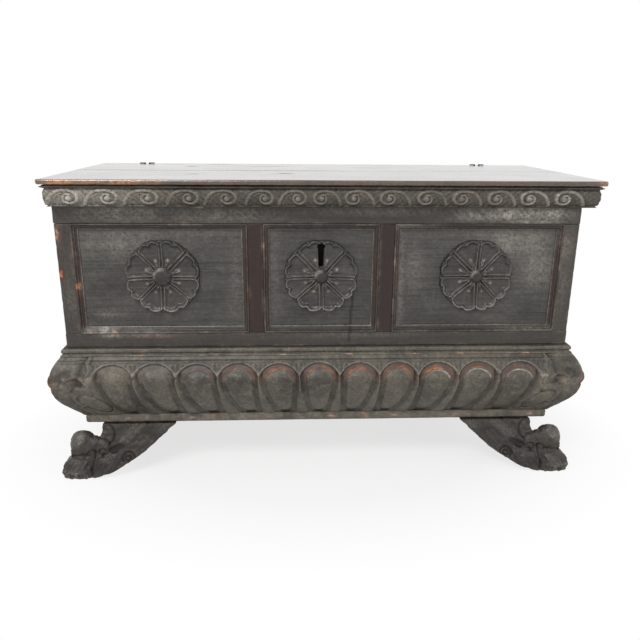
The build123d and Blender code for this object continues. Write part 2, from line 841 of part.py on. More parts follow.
with BuildPart() as lid_hasp:
    block((-hasp_width / 2, hasp_width / 2), hasp_y, (bolt_z - bolt_height, plank_bottom))
    block((-hasp_nail_x - 8, hasp_nail_x + 8), (hasp_y[0] - 2, hasp_y[1] + 2),
          (plank_bottom - hasp_foot, plank_bottom))
    block((-hasp_width, hasp_width),
          (bolt_middle_y - bolt_depth / 2 - 2.0, bolt_middle_y + bolt_depth / 2 + 2.0),
          (bolt_z - bolt_height / 2 - 2.0, bolt_z + bolt_height / 2 + 2.0), Mode.SUBTRACT)
    for end in (-1, 1):
        hole(end * hasp_nail_x, (hasp_y[0] + hasp_y[1]) / 2, plank_bottom, nail_radius,
             hasp_foot * 3)
save(lid_hasp.part, "lid_hasp")


def nail(x, y, z, turn, length):
    """A forged nail: a domed head outside the given point, the shank going in."""
    place = Location((x, y, z), turn)
    shank = place * Pos(0, 0, -length / 2) * Cylinder(nail_radius, length)
    dome = Pos(0, 0, -nail_head_radius * 0.7) * Sphere(nail_head_radius * 1.22)
    head = dome & Pos(0, 0, nail_head_radius / 2) * Box(20, 20, nail_head_radius)
    return shank + place * head


nail_places = [(x, z) for x in (-plate_screw_x, plate_screw_x) for z in plate_screw_z]
nails = [nail(x, plate_back, z, (-90, 0, 0), nail_length) for x, z in nail_places]
with BuildPart() as lock_nails:
    for iron in nails:
        add(iron)
save(lock_nails.part, "lock_nails")

hasp_middle_y = (hasp_y[0] + hasp_y[1]) / 2
nails = [
    nail(end * hasp_nail_x, hasp_middle_y, plank_bottom - hasp_foot, (180, 0, 0), nail_length)
    for end in (-1, 1)
]
with BuildPart() as hasp_nails:
    for iron in nails:
        add(iron)
save(hasp_nails.part, "hasp_nails")
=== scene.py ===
import math
from functools import partial

import bmesh
import bpy
import numpy as np
from mathutils import Matrix, Vector


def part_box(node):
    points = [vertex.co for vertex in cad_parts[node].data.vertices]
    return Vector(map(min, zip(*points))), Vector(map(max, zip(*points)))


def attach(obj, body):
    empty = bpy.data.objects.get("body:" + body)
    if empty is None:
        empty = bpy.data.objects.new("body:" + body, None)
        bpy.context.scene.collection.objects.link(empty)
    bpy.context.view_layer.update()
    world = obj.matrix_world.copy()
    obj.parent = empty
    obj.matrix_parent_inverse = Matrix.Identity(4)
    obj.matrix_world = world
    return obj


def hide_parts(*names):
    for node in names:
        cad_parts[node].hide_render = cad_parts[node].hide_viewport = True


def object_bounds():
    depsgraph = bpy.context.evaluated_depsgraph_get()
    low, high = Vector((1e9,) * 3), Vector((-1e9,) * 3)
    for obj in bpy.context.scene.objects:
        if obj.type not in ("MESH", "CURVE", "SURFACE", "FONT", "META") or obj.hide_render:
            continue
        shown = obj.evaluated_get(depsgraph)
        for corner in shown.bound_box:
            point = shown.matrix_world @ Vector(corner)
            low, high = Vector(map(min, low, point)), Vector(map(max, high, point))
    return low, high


bl_info = {
    "name": "Carved walnut cassone",
    "version": (1, 0, 0),
    "blender": (4, 5, 0),
    "location": "3D View > Sidebar > Cassone",
    "description": "Dresses the solids of a carved chest with its carving, wood and iron",
    "category": "Object",
}

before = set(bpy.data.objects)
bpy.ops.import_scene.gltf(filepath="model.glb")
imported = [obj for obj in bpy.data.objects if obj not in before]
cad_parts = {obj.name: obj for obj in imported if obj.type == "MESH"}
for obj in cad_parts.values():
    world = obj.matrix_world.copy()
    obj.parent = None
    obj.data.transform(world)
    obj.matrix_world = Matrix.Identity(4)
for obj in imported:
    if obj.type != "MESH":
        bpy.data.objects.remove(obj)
CAD_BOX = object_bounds()
MM = 0.001


def box(node):
    """Lowest and highest corner of a node of the frame, in millimetres."""
    low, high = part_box(node)
    return np.array(low) * 1000.0, np.array(high) * 1000.0


def rgba(colour):
    return tuple(colour) + (1.0,)


def linear(hex_colour):
    """A six-digit sRGB colour as linear red, green, blue and full alpha."""
    parts = [int(hex_colour[i:i + 2], 16) / 255.0 for i in (0, 2, 4)]
    return rgba(c / 12.92 if c <= 0.04045 else ((c + 0.055) / 1.055) ** 2.4 for c in parts)


def colour_property(name, hex_colour, what):
    return bpy.props.FloatVectorProperty(
        name=name, description=what, default=linear(hex_colour)[:3], subtype="COLOR", min=0, max=1
    )


def length_property(name, metres, what):
    return bpy.props.FloatProperty(
        name=name, description=what, default=metres, min=0.0, unit="LENGTH", subtype="DISTANCE"
    )


class CassoneCarving(bpy.types.PropertyGroup):
    lobe_pitch: length_property("Lobe pitch", 0.0933, "Distance from one lobe to the next")
    lobe_depth: length_property("Lobe depth", 0.0085, "Depth of the cuts round the lobes")
    scroll_depth: length_property("Scroll depth", 0.005, "Relief of the running scroll on the lid")
    rosette_relief: length_property("Rosette relief", 0.0155, "Height of the rosettes")
    wear: length_property("Wear", 0.0009, "How far arrises have worn away")


class CassoneFinish(bpy.types.PropertyGroup):
    wood: colour_property("Wood", "2f2a27", "Waxed, blackened walnut")
    wood_light: colour_property("Wood, light streaks", "4b443d", "Lighter streaks and dust")
    panel: colour_property("Panel wood", "242323", "Cooler wood of the panels")
    ground: colour_property("Red ground", "4c2114", "Red-brown wood in the cuts of the base")
    bare: colour_property("Bare wood", "b0744a", "Fresh wood where an edge has worn through")
    iron: colour_property("Iron", "1d1b1a", "Hand-forged iron")
    floor: colour_property("Floor", "e6e6e6", "Pale floor")


def carving():
    return bpy.context.scene.cassone_carving


def finish():
    return bpy.context.scene.cassone_finish


# --- Materials -----------------------------------------------------------------------------------


def add_node(tree, kind, inputs=(), out=0, stops=(), **settings):
    """Adds one node, makes its settings, links or sets its inputs, and gives one of its outputs.
    Stops are those of a colour ramp: (position, grey or colour)."""
    made = tree.nodes.new("ShaderNode" + kind)
    for key, value in settings.items():
        setattr(made, key, value)
    for socket, value in dict(inputs).items():
        if isinstance(value, bpy.types.NodeSocket):
            tree.links.new(value, made.inputs[socket])
        else:
            made.inputs[socket].default_value = value
    for number, (position, shade) in enumerate(stops):
        element = made.color_ramp.elements[number]
        element.position = position
        element.color = shade if isinstance(shade, tuple) else (shade, shade, shade, 1.0)
    return made.outputs[out]


def new_material(name):
    material = bpy.data.materials.new(name)
    material.use_nodes = True
    return material, material.node_tree, material.node_tree.nodes["Principled BSDF"]


GRAIN_TURN = {"x": (0, 0, 0), "y": (0, 0, math.pi / 2), "z": (0, math.pi / 2, 0)}
# Colours laid over the skin: dirt, and a painted shade in the cuts; rubbed wood, and painted
# highlights on crests and rims; chalky dust and paler wood, and a painted sheen; and the flight
# holes.
DIRT_AND_PAINTED_SHADE, RUBBED_WOOD_AND_HIGHLIGHT, CHALKY_DUST_AND_SHEEN, FLIGHT_HOLE = "15110f", "8f8678", "c2bbb0", "0a0807"


def walnut(name, grain, dark, light, bare, ground, roughness=0.42, streak=0.5, dust=0.35, shift=0.0,
           relief=0.55, polish=0.0, pore=0.6, grime=0.80):
    """Old walnut, blackened by wax and handling: the dark skin gives the overall tone, long
    streaks follow the grain, bare wood shows on worn arrises, with painted highlights on carved
    crests, red ground lies in the cuts, dirt and a painted shade darken the cuts and recesses, a
    light grey gives paler wood, dust and a painted sheen, and the beetle's flight holes are small
    dark pits."""
    key = name + "_" + grain
    if key in bpy.data.materials:
        return bpy.data.materials[key]
    material, tree, shader = new_material(key)
    add = partial(add_node, tree)
    place = add("TexCoord", out="Object")
    turned = add("Mapping", {"Vector": place, "Location": (shift,) * 3,
                             "Rotation": GRAIN_TURN[grain]})
    marks = add("SeparateColor", {"Color": add("Attribute", out="Color", attribute_name="finish")})
    worn, cut, red = marks.node.outputs
    pale = add("Attribute", out="Fac", attribute_name="pale")

    # Streaks are 2 to 4 mm wide and some 150 mm long; pores are drawn 0.8 mm wide to show. Across
    # the grain's direction lie clouds a hand wide, specks of 3 to 6 mm, freckles of dust of 10 to
    # 20 mm, and the broken rubbing of the arrises.
    streak_place = add("Mapping", {"Vector": turned, "Scale": (7, 260, 260)})
    pore_place = add("Mapping", {"Vector": turned, "Scale": (40, 1200, 1200)})
    streaks, pores, cloud, speck, freckle, rubbing = (
        add("TexNoise", {"Vector": spot, "Scale": scale, "Detail": detail, "Roughness": rough,
                         "Distortion": twist})
        for spot, scale, detail, rough, twist in (
            (streak_place, 1.0, 5.0, 0.6, 0.6), (pore_place, 1.0, 2.0, 0.5, 0.0),
            (place, 9.0, 4.0, 0.6, 0.0), (place, 160.0, 4.0, 0.7, 0.0),
            (place, 55.0, 6.0, 0.72, 0.4), (place, 38.0, 5.0, 0.65, 0.0)))

    def between(source, first, last, low=0.0, high=1.0):
        return add("ValToRGB", {"Fac": source}, stops=((first, low), (last, high)))

    def product(first, second):
        return add("Math", {0: first, 1: second}, operation="MULTIPLY")

    # Flight holes, about 1.5 mm across and a hand's breadth apart.
    holes = add("TexVoronoi", {"Vector": place, "Scale": 34.0, "Randomness": 1.0}, "Distance").node
    chosen = add("SeparateColor", {"Color": holes.outputs["Color"]})
    pit = product(between(holes.outputs["Distance"], 0.03, 0.045, 1.0, 0.0),
                  add("Math", {0: chosen, 1: 0.22}, operation="LESS_THAN"))
    rubbed = product(worn, between(rubbing, 0.40, 0.66, 0.12))

    # From the skin up: how much of a layer there is, its colour, and how it is laid on.
    skin = dark
    for amount, colour, mode in (
            (product(between(streaks, 0.32, 0.72), streak), light, "MIX"),
            (product(between(cloud, 0.35, 0.68), dust), light, "MIX"),
            (product(between(freckle, 0.50, 0.66), dust * 1.1), light, "MIX"),
            (1.0, between(pores, 0.30, 0.5, pore), "MULTIPLY"),
            # Grime and small bruises.
            (1.0, between(speck, 0.36, 0.60, grime, 1.12), "MULTIPLY"),
            # Red runs from 0 to 2: the ground shows up to 1, broken up, and fresh wood above it.
            (product(red, between(speck, 0.34, 0.6, 0.15)), ground, "MIX"),
            (product(between(product(red, 0.5), 0.44, 0.70), between(speck, 0.38, 0.56, 0.2)),
             bare, "MIX"),
            # Dirt in places, and a painted shade in the cuts, grooves and recesses that the cut
            # mark follows.
            (product(cut, 0.8), linear(DIRT_AND_PAINTED_SHADE), "MIX"),
            # Bare wood on the arrises, from light grey rubbing to orange chips; on carved crests,
            # lips and rims the worn mark also lays on a painted highlight.
            (product(rubbed, 0.62), linear(RUBBED_WOOD_AND_HIGHLIGHT), "MIX"),
            (product(worn, between(rubbing, 0.655, 0.70)), bare, "MIX"),
            # Chalky dust, chips and paler wood, together with a painted sheen and painted
            # highlights, in one light grey.
            (product(pale, between(speck, 0.36, 0.58, 0.25)), linear(CHALKY_DUST_AND_SHEEN), "MIX"),
            (pit, linear(FLIGHT_HOLE), "MIX")):
        skin = add("Mix", {0: amount, 6: skin, 7: colour}, 2, data_type="RGBA", blend_type=mode)

    # Dirt and rubbing dull the wax, and smudges take the polish away.
    gloss, height = roughness - 0.12, 0.0
    for source, weight in ((cloud, 0.25), (cut, 0.3), (rubbed, 0.12)):
        gloss = add("Math", {0: source, 1: weight, 2: gloss}, operation="MULTIPLY_ADD")
    for source, weight in ((streaks, 0.35), (pores, 0.12), (speck, 0.3), (pit, -2.0)):
        height = add("Math", {0: source, 1: weight, 2: height}, operation="MULTIPLY_ADD")
    coat = add("Math", {0: cut, 1: -polish, 2: polish}, operation="MULTIPLY_ADD")
    bump = add("Bump", {"Height": height, "Strength": relief, "Distance": 0.0009})
    for socket, source in (("Base Color", skin), ("Roughness", gloss), ("Coat Weight", coat),
                           ("Normal", bump)):
        tree.links.new(source, shader.inputs[socket])
    shader.inputs["Specular IOR Level"].default_value = 0.45
    shader.inputs["Coat Roughness"].default_value = 0.14
    return material


# Each wood: the material's name, its dark, light and ground colours (a finish property or a hex
# colour), and how it differs from the wood of the case.
WOODS = {
    # Waxed walnut, blackened by handling: near black, with dull grey-brown streaks.
    "case": ("waxed_walnut", "wood", "wood_light", "ground", {}),
    # The same on wide planed panels: cooler, smoother, with a soft sheen along the boards.
    "panel": ("waxed_walnut_panel", "panel", "5f5b55", "ground",
              {"roughness": 0.34, "streak": 0.55, "dust": 0.34, "shift": 0.7}),
    # Redder heartwood under the wax, seen on the muntins.
    "muntin": ("waxed_walnut_reddish", "1c100d", "2e1b16", "ground",
               {"roughness": 0.4, "shift": 1.3}),
    # Carved walnut: dust and old wax lie grey in the tool marks, and hide the streaks.
    "carved": ("carved_walnut", "34302c", "6e675a", "ground",
               {"roughness": 0.5, "streak": 0.15, "dust": 0.75, "shift": 2.1, "pore": 0.8,
                "relief": 0.9, "grime": 0.62}),
    # The feet, in a darker wood than the case.
    "foot": ("carved_walnut_dark", "1c1817", "4c443c", "ground",
             {"roughness": 0.44, "streak": 0.25, "dust": 0.6, "shift": 3.3, "relief": 0.9,
              "grime": 0.6}),
    # The lid's top, polished by use: a clear coat that mirrors the light, and fresh worn edges.
    "lid": ("polished_walnut_lid", "3b302a", "5a4a3e", "b57c50",
            {"roughness": 0.25, "streak": 0.6, "dust": 0.3, "shift": 4.4, "relief": 0.14,
             "polish": 0.85}),
    # Sawn boards inside and behind, never waxed: paler, brown and matt.
    "plain": ("sawn_walnut", "4a3a2c", "6b5642", "ground",
              {"roughness": 0.7, "streak": 0.6, "dust": 0.3, "shift": 5.2}),
}


def wood(kind, grain):
    """One of the woods of the chest, with its grain along an axis."""
    def shade(colour):
        return rgba(getattr(finish(), colour)) if hasattr(finish(), colour) else linear(colour)

    name, dark, light, ground, settings = WOODS[kind]
    return walnut(name, grain, shade(dark), shade(light), shade("bare"), shade(ground), **settings)


def forged_iron():
    """Hand-forged iron: near black, with dull brown rust in the hammer marks."""
    name = "forged_iron"
    if name in bpy.data.materials:
        return bpy.data.materials[name]
    material, tree, shader = new_material(name)
    add = partial(add_node, tree)
    place = add("TexCoord", out="Object")
    # Rust lies in spots of 5 to 10 mm, and a hammer's blow is about 5 mm across.
    rust = add("TexNoise", {"Vector": place, "Scale": 120.0, "Detail": 6.0, "Roughness": 0.7})
    hammer = add("TexVoronoi", {"Vector": place, "Scale": 220.0}, "Distance", feature="SMOOTH_F1")
    rust_brown = linear("4a2f20")
    tone = add("ValToRGB", {"Fac": rust}, stops=((0.42, rgba(finish().iron)), (0.62, rust_brown)))
    dullness = add("ValToRGB", {"Fac": rust}, stops=((0.4, 0.45), (0.65, 0.85)))
    bump = add("Bump", {"Height": hammer, "Strength": 0.5, "Distance": 0.0008})
    for socket, source in (("Base Color", tone), ("Roughness", dullness), ("Normal", bump)):
        tree.links.new(source, shader.inputs[socket])
    shader.inputs["Metallic"].default_value = 0.75
    return material


# --- Mesh helpers --------------------------------------------------------------------------------


def smooth_step(value, low, high):
    share = np.clip((value - low) / (high - low), 0.0, 1.0)
    return share * share * (3 - 2 * share)


def bell(distance, width, power=2):
    """A soft hump, 1 at no distance and a third of that a width away; flatter with more power."""
    return np.exp(-(distance / width) ** power)


def ridge(distance, half_width):
    """A rounded ridge, 1 on its line and 0 a half width away."""
    return np.cos(np.clip(np.abs(distance) / half_width, 0, 1) * math.pi / 2) ** 1.5


def ripple(x, y, z, seed=0.0):
    """Slow, unrepeating waves between about -1 and 1, for the marks of hand work."""
    a = np.sin(x * 1.0 + 2.1 * np.sin(y * 0.73 + seed) + seed * 1.7)
    b = np.sin(y * 1.31 + 1.7 * np.sin(z * 0.61 - seed) + seed * 0.9)
    c = np.sin(z * 0.87 + 2.4 * np.sin(x * 0.53 + seed * 2.3))
    d = np.sin(x * 2.17 + y * 1.9 + 1.3 * np.sin(z * 1.7 + seed))
    return (a + b + c + d) / 4


def read_all(items, key, width):
    """One property of every vertex, as rows of numbers."""
    values = np.empty(len(items) * width)
    items.foreach_get(key, values)
    return values.reshape(-1, width)


def coordinates(mesh):
    return read_all(mesh.vertices, "co", 3)


def place_vertices(mesh, spots):
    mesh.vertices.foreach_set("co", np.ascontiguousarray(spots, dtype=np.float64).ravel())
    mesh.update()


def mark(mesh, worn=0.0, cut=0.0, red=0.0, pale=0.0):
    """Stores how worn each vertex is, with painted highlights on carved crests, how dark, from dirt
    and from a painted shade in the cuts, how red, and how much of a light grey it takes, for paler
    wood, dust and a painted sheen, for the wood to read.
    """
    count = len(mesh.vertices)
    values = np.ones((count, 4))
    for column, (value, most) in enumerate(((worn, 1), (cut, 1), (red, 2))):
        values[:, column] = np.clip(value, 0, most)
    pale = np.clip(np.zeros(count) + pale, 0, 1)
    for name, kind, key, numbers in (("finish", "FLOAT_COLOR", "color", values.ravel()),
                                     ("pale", "FLOAT", "value", pale)):
        attribute = mesh.attributes.get(name) or mesh.attributes.new(name, kind, "POINT")
        attribute.data.foreach_set(key, numbers)


def scuffs(mesh, places):
    """Old knocks on a board's face, and painted sheen: (across, up, half width, half height,
    orange, paleness), where paleness above zero lays on light grey, for chips and for a painted
    sheen, and below zero a dark stain."""
    x, _, z = coordinates(mesh).T / MM
    worn, cut, red, _ = read_all(mesh.attributes["finish"].data, "color", 4).T
    pale = read_all(mesh.attributes["pale"].data, "value", 1)[:, 0]
    for across, up, wide, tall, orange, white in places:
        near = bell(x - across, wide) * bell(z - up, tall)
        near = near * (0.7 + 0.5 * ripple(x / 6, z / 5, 0, across))
        red = np.maximum(red, near * orange)
        pale = np.maximum(pale, near * white)
        cut = np.maximum(cut, -near * white)
    mark(mesh, worn, cut, red, pale)


def link_object(name, data):
    made = bpy.data.objects.new(name, data)
    bpy.context.scene.collection.objects.link(made)
    return made


def piece(name, mesh, material, body, nodes=()):
    """Makes a mesh in millimetres a piece of the chest, in its place in metres."""
    mesh.transform(Matrix.Scale(MM, 4))
    for polygon in mesh.polygons:
        polygon.use_smooth = True
    mesh.materials.append(material)
    made = link_object(name, mesh)
    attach(made, body)
    if nodes:
        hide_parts(*nodes)
    return made


def give_material(node, material):
    """Gives a solid of the frame its material, and leaves its shape alone."""
    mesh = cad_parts[node].data
    mesh.materials.clear()
    mesh.materials.append(material)


def to_mesh(bm, name):
    mesh = bpy.data.meshes.new(name)
    bm.to_mesh(mesh)
    bm.free()
    return mesh


def corners_of(geometry):
    return [item for item in geometry if isinstance(item, bmesh.types.BMVert)]


def slice_up(bm, axis, low, high, step):
    """Cuts a mesh across an axis into short lengths."""
    count = max(2, int(round((high - low) / step)))
    normal = Vector((0, 0, 0))
    normal[axis] = 1.0
    for number in range(1, count):
        spot = Vector((0, 0, 0))
        spot[axis] = low + (high - low) * number / count
        geometry = bm.verts[:] + bm.edges[:] + bm.faces[:]
        bmesh.ops.bisect_plane(bm, geom=geometry, plane_co=spot, plane_no=normal, dist=1e-4)


def round_edges(bm, edges, radius, segments):
    bmesh.ops.bevel(bm, geom=edges, offset=radius, offset_type="OFFSET", affect="EDGES",
                    segments=segments, profile=0.5, material=-1)


def board(name, low, high, material, nodes, cells=(6, 6, 6), rounding=1.6, seed=0.0,
          wear_scale=1.0, red=0.0, easing=(), body="chest", slot="carved_walnut"):
    """A hand-planed board between two corners: eased arrises, slightly wavy faces, and small
    losses along the edges. Cells are the lengths that it is cut up into along each axis.
    Easing rounds chosen arrises more: (axis, side, axis, side, radius)."""
    low, high = np.array(low, float), np.array(high, float)
    middle = (low + high) / 2
    bm = bmesh.new()
    bmesh.ops.create_cube(bm, size=1.0)
    bmesh.ops.scale(bm, vec=high - low, verts=bm.verts)
    bmesh.ops.translate(bm, vec=middle, verts=bm.verts)
    for axis_a, side_a, axis_b, side_b, radius in easing:
        place_a = (high if side_a > 0 else low)[axis_a]
        place_b = (high if side_b > 0 else low)[axis_b]
        round_edges(bm, [edge for edge in bm.edges if all(
            abs(v.co[axis_a] - place_a) < 0.01 and abs(v.co[axis_b] - place_b) < 0.01
            for v in edge.verts)], radius, 6)
    round_edges(bm, [edge for edge in bm.edges if edge.calc_face_angle(0.0) > 0.6], rounding, 3)
    for axis, step in enumerate(cells):
        if step and high[axis] - low[axis] > 2.5 * step:
            slice_up(bm, axis, low[axis] + rounding, high[axis] - rounding, step)
    mesh = to_mesh(bm, name)
    spots = coordinates(mesh)
    near = np.minimum(spots - low, high - spots)
    edge = np.exp(-np.sort(near, axis=1)[:, 1] / 2.2)
    x, y, z = spots.T
    patches = ripple(x / 21, y / 23, z / 21, seed)
    nicks = ripple(x / 4.1, y / 3.7, z / 4.3, seed + 3) * 0.5 + 0.5
    loss = edge * (nicks ** 3) * carving().wear / MM * wear_scale
    wave = (ripple(x / 60, y / 60, z / 60, seed + 1) - 1.0) * 0.22
    spots = spots + np.sign(middle - spots) * (near < 3.0) * loss[:, None]
    spots = spots + np.sign(spots - middle) * (near < 0.01) * wave[:, None]
    place_vertices(mesh, np.clip(spots, low, high))
    mark(mesh, worn=edge * smooth_step(patches + nicks, 0.2, 1.1), red=red)
    return piece(name, mesh, material, body, nodes)


def node_board(node, material, cells=(6, 6, 6), **settings):
    return board(node + "_worn", *box(node), material, [node], cells, **settings)


def swept(outline, corners, closed, step, along):
    """Carries an outline round mitred corners. Each point of the outline gives its own line
    of corner points, and the sticks are cut up along the named axes."""
    bm = bmesh.new()
    first = [bm.verts.new(corners(point)[0]) for point in outline]
    edges = [bm.edges.new((first[i], first[(i + 1) % len(first)])) for i in range(len(first))]
    current = first
    for stop in list(range(1, len(corners(outline[0])))) + ([0] if closed else []):
        fresh = corners_of(bmesh.ops.extrude_edge_only(bm, edges=edges)["geom"])
        moved = []
        for old, point in zip(current, outline):
            match = min(fresh, key=lambda v: (v.co - old.co).length)
            fresh.remove(match)
            moved.append((match, corners(point)[stop]))
        for vertex, spot in moved:
            vertex.co = spot
        current = [vertex for vertex, spot in moved]
        edges = [edge for edge in bm.edges if set(edge.verts) <= set(current)]
    if closed:
        bmesh.ops.remove_doubles(bm, verts=bm.verts, dist=1e-3)
    else:
        bmesh.ops.contextual_create(bm, geom=first)
        bmesh.ops.contextual_create(bm, geom=current)
    bmesh.ops.recalc_face_normals(bm, faces=bm.faces)
    for axis, low, high in along:
        slice_up(bm, axis, low, high, step)
    return bm


# --- Places taken from the frame -----------------------------------------------------------------

RAIL_LOW, RAIL_HIGH = box("front_top_rail")
FRONT = RAIL_LOW[1]
HALF = RAIL_HIGH[0]
BACK = box("back_boards")[1][1]
BASE_LOW, BASE_HIGH = box("gadroon_front")
BASE_REACH = FRONT - BASE_LOW[1]
INNER_REACH = -30.0
SIDES = ((-1, "left"), (1, "right"))


def carved_run(name, outline, relief, side, cells, corner_y, back, inner, grain, body, node,
               middle=0.0):
    """A carved moulding along the front (side 0) or one side: a fine grid bent round the
    outline, cut by the relief, and closed to the flat faces behind it. Corner_y is the plane of
    the front that the outline is measured from, back the end of a side run, inner the place of
    the hidden face, and middle the run's own centre line across the chest."""
    points = np.array(outline, float)
    length = np.concatenate([[0], np.cumsum(np.hypot(*np.diff(points, axis=0).T))])
    run = 2 * (HALF + points[:, 0].max()) if side == 0 else back - corner_y
    bm = bmesh.new()
    bmesh.ops.create_grid(bm, x_segments=int(run / cells[0]), y_segments=int(length[-1] / cells[1]),
                          size=0.5)
    grid = np.array([vertex.co for vertex in bm.verts])
    share, rise = grid[:, 0] + 0.5, (grid[:, 1] + 0.5) * length[-1]
    reach = np.interp(rise, length, points[:, 0])
    z = np.interp(rise, length, points[:, 1])
    if side == 0:
        along = (2 * share - 1) * (HALF + reach)
        corner = HALF + reach - np.abs(along)
    else:
        along = (corner_y - reach) + share * (back - corner_y + reach)
        corner = along - (corner_y - reach)
    offset, *marks = relief(along, z, corner)
    reach = reach + offset
    if side == 0:
        spots = np.stack([(2 * share - 1) * (HALF + reach), corner_y - reach, z], axis=1)
    else:
        y = (corner_y - reach) + share * (back - corner_y + reach)
        spots = np.stack([side * (HALF + reach), y, z], axis=1)
    for vertex, spot in zip(bm.verts, spots):
        vertex.co = spot
    rim = [edge for edge in bm.edges if edge.is_boundary]
    fresh = bmesh.ops.extrude_edge_only(bm, edges=rim)["geom"]
    for vertex in corners_of(fresh):
        x, y, z = vertex.co
        if side == 0:
            vertex.co = (x * (HALF + inner) / (HALF + corner_y - y), corner_y - inner, z)
        else:
            out = abs(x) - HALF
            part = (y - corner_y + out) / (back - corner_y + out)
            hidden = corner_y - inner
            vertex.co = (side * (HALF + inner), hidden + part * (back - hidden), z)
    rim = [item for item in fresh if isinstance(item, bmesh.types.BMEdge)]
    bmesh.ops.edgeloop_fill(bm, edges=rim)
    bmesh.ops.translate(bm, vec=(middle, 0, 0), verts=bm.verts)
    bmesh.ops.recalc_face_normals(bm, faces=bm.faces)
    mesh = to_mesh(bm, name)
    extra = np.zeros(len(mesh.vertices) - len(grid))
    mark(mesh, *(np.concatenate([value, extra]) for value in marks))
    return piece(name, mesh, wood("carved", grain), body, [node])


# --- Base: lobes, leaves and mouldings -----------------------------------------------------------

# Reach of the bulging base against its height, both as shares.
BULGE = ((-0.36, 0.0), (-0.27, 0.03), (-0.16, 0.06), (0.06, 0.125), (0.36, 0.224), (0.59, 0.32),
         (0.76, 0.414), (0.87, 0.50), (0.95, 0.60), (0.985, 0.645), (1.0, 0.69), (0.985, 0.73),
         (0.95, 0.765), (0.80, 0.85), (0.57, 0.93), (0.45, 0.965), (0.33, 1.0))


def bulge_outline():
    low, high = BASE_LOW[2], BASE_HIGH[2]
    points = np.array([(reach * BASE_REACH, low + up * (high - low)) for reach, up in BULGE])
    for turn in range(3):
        middle = points[1:-1] * 0.5 + (points[:-2] + points[2:]) * 0.25
        points = np.vstack([points[:1], middle, points[-1:]])
    points[:, 0] *= BASE_REACH / points[:, 0].max()
    return points


# Where the heads of the lobes stand along the front; the carver spaced them by eye.
LOBE_PLACES = (-475, -380, -284, -190, -97, -4, 89, 181, 273, 366, 466)


# Below the top of the base: the middle of a lobe's head, the point of the valleys between the
# arches, and the lowest line of the flat surround. The arches rise this much above the valleys.
HEAD_DOWN, VALLEY_DOWN, SURROUND_DOWN, ARCH_RISE = 54.0, 47.0, 15.0, 36.0


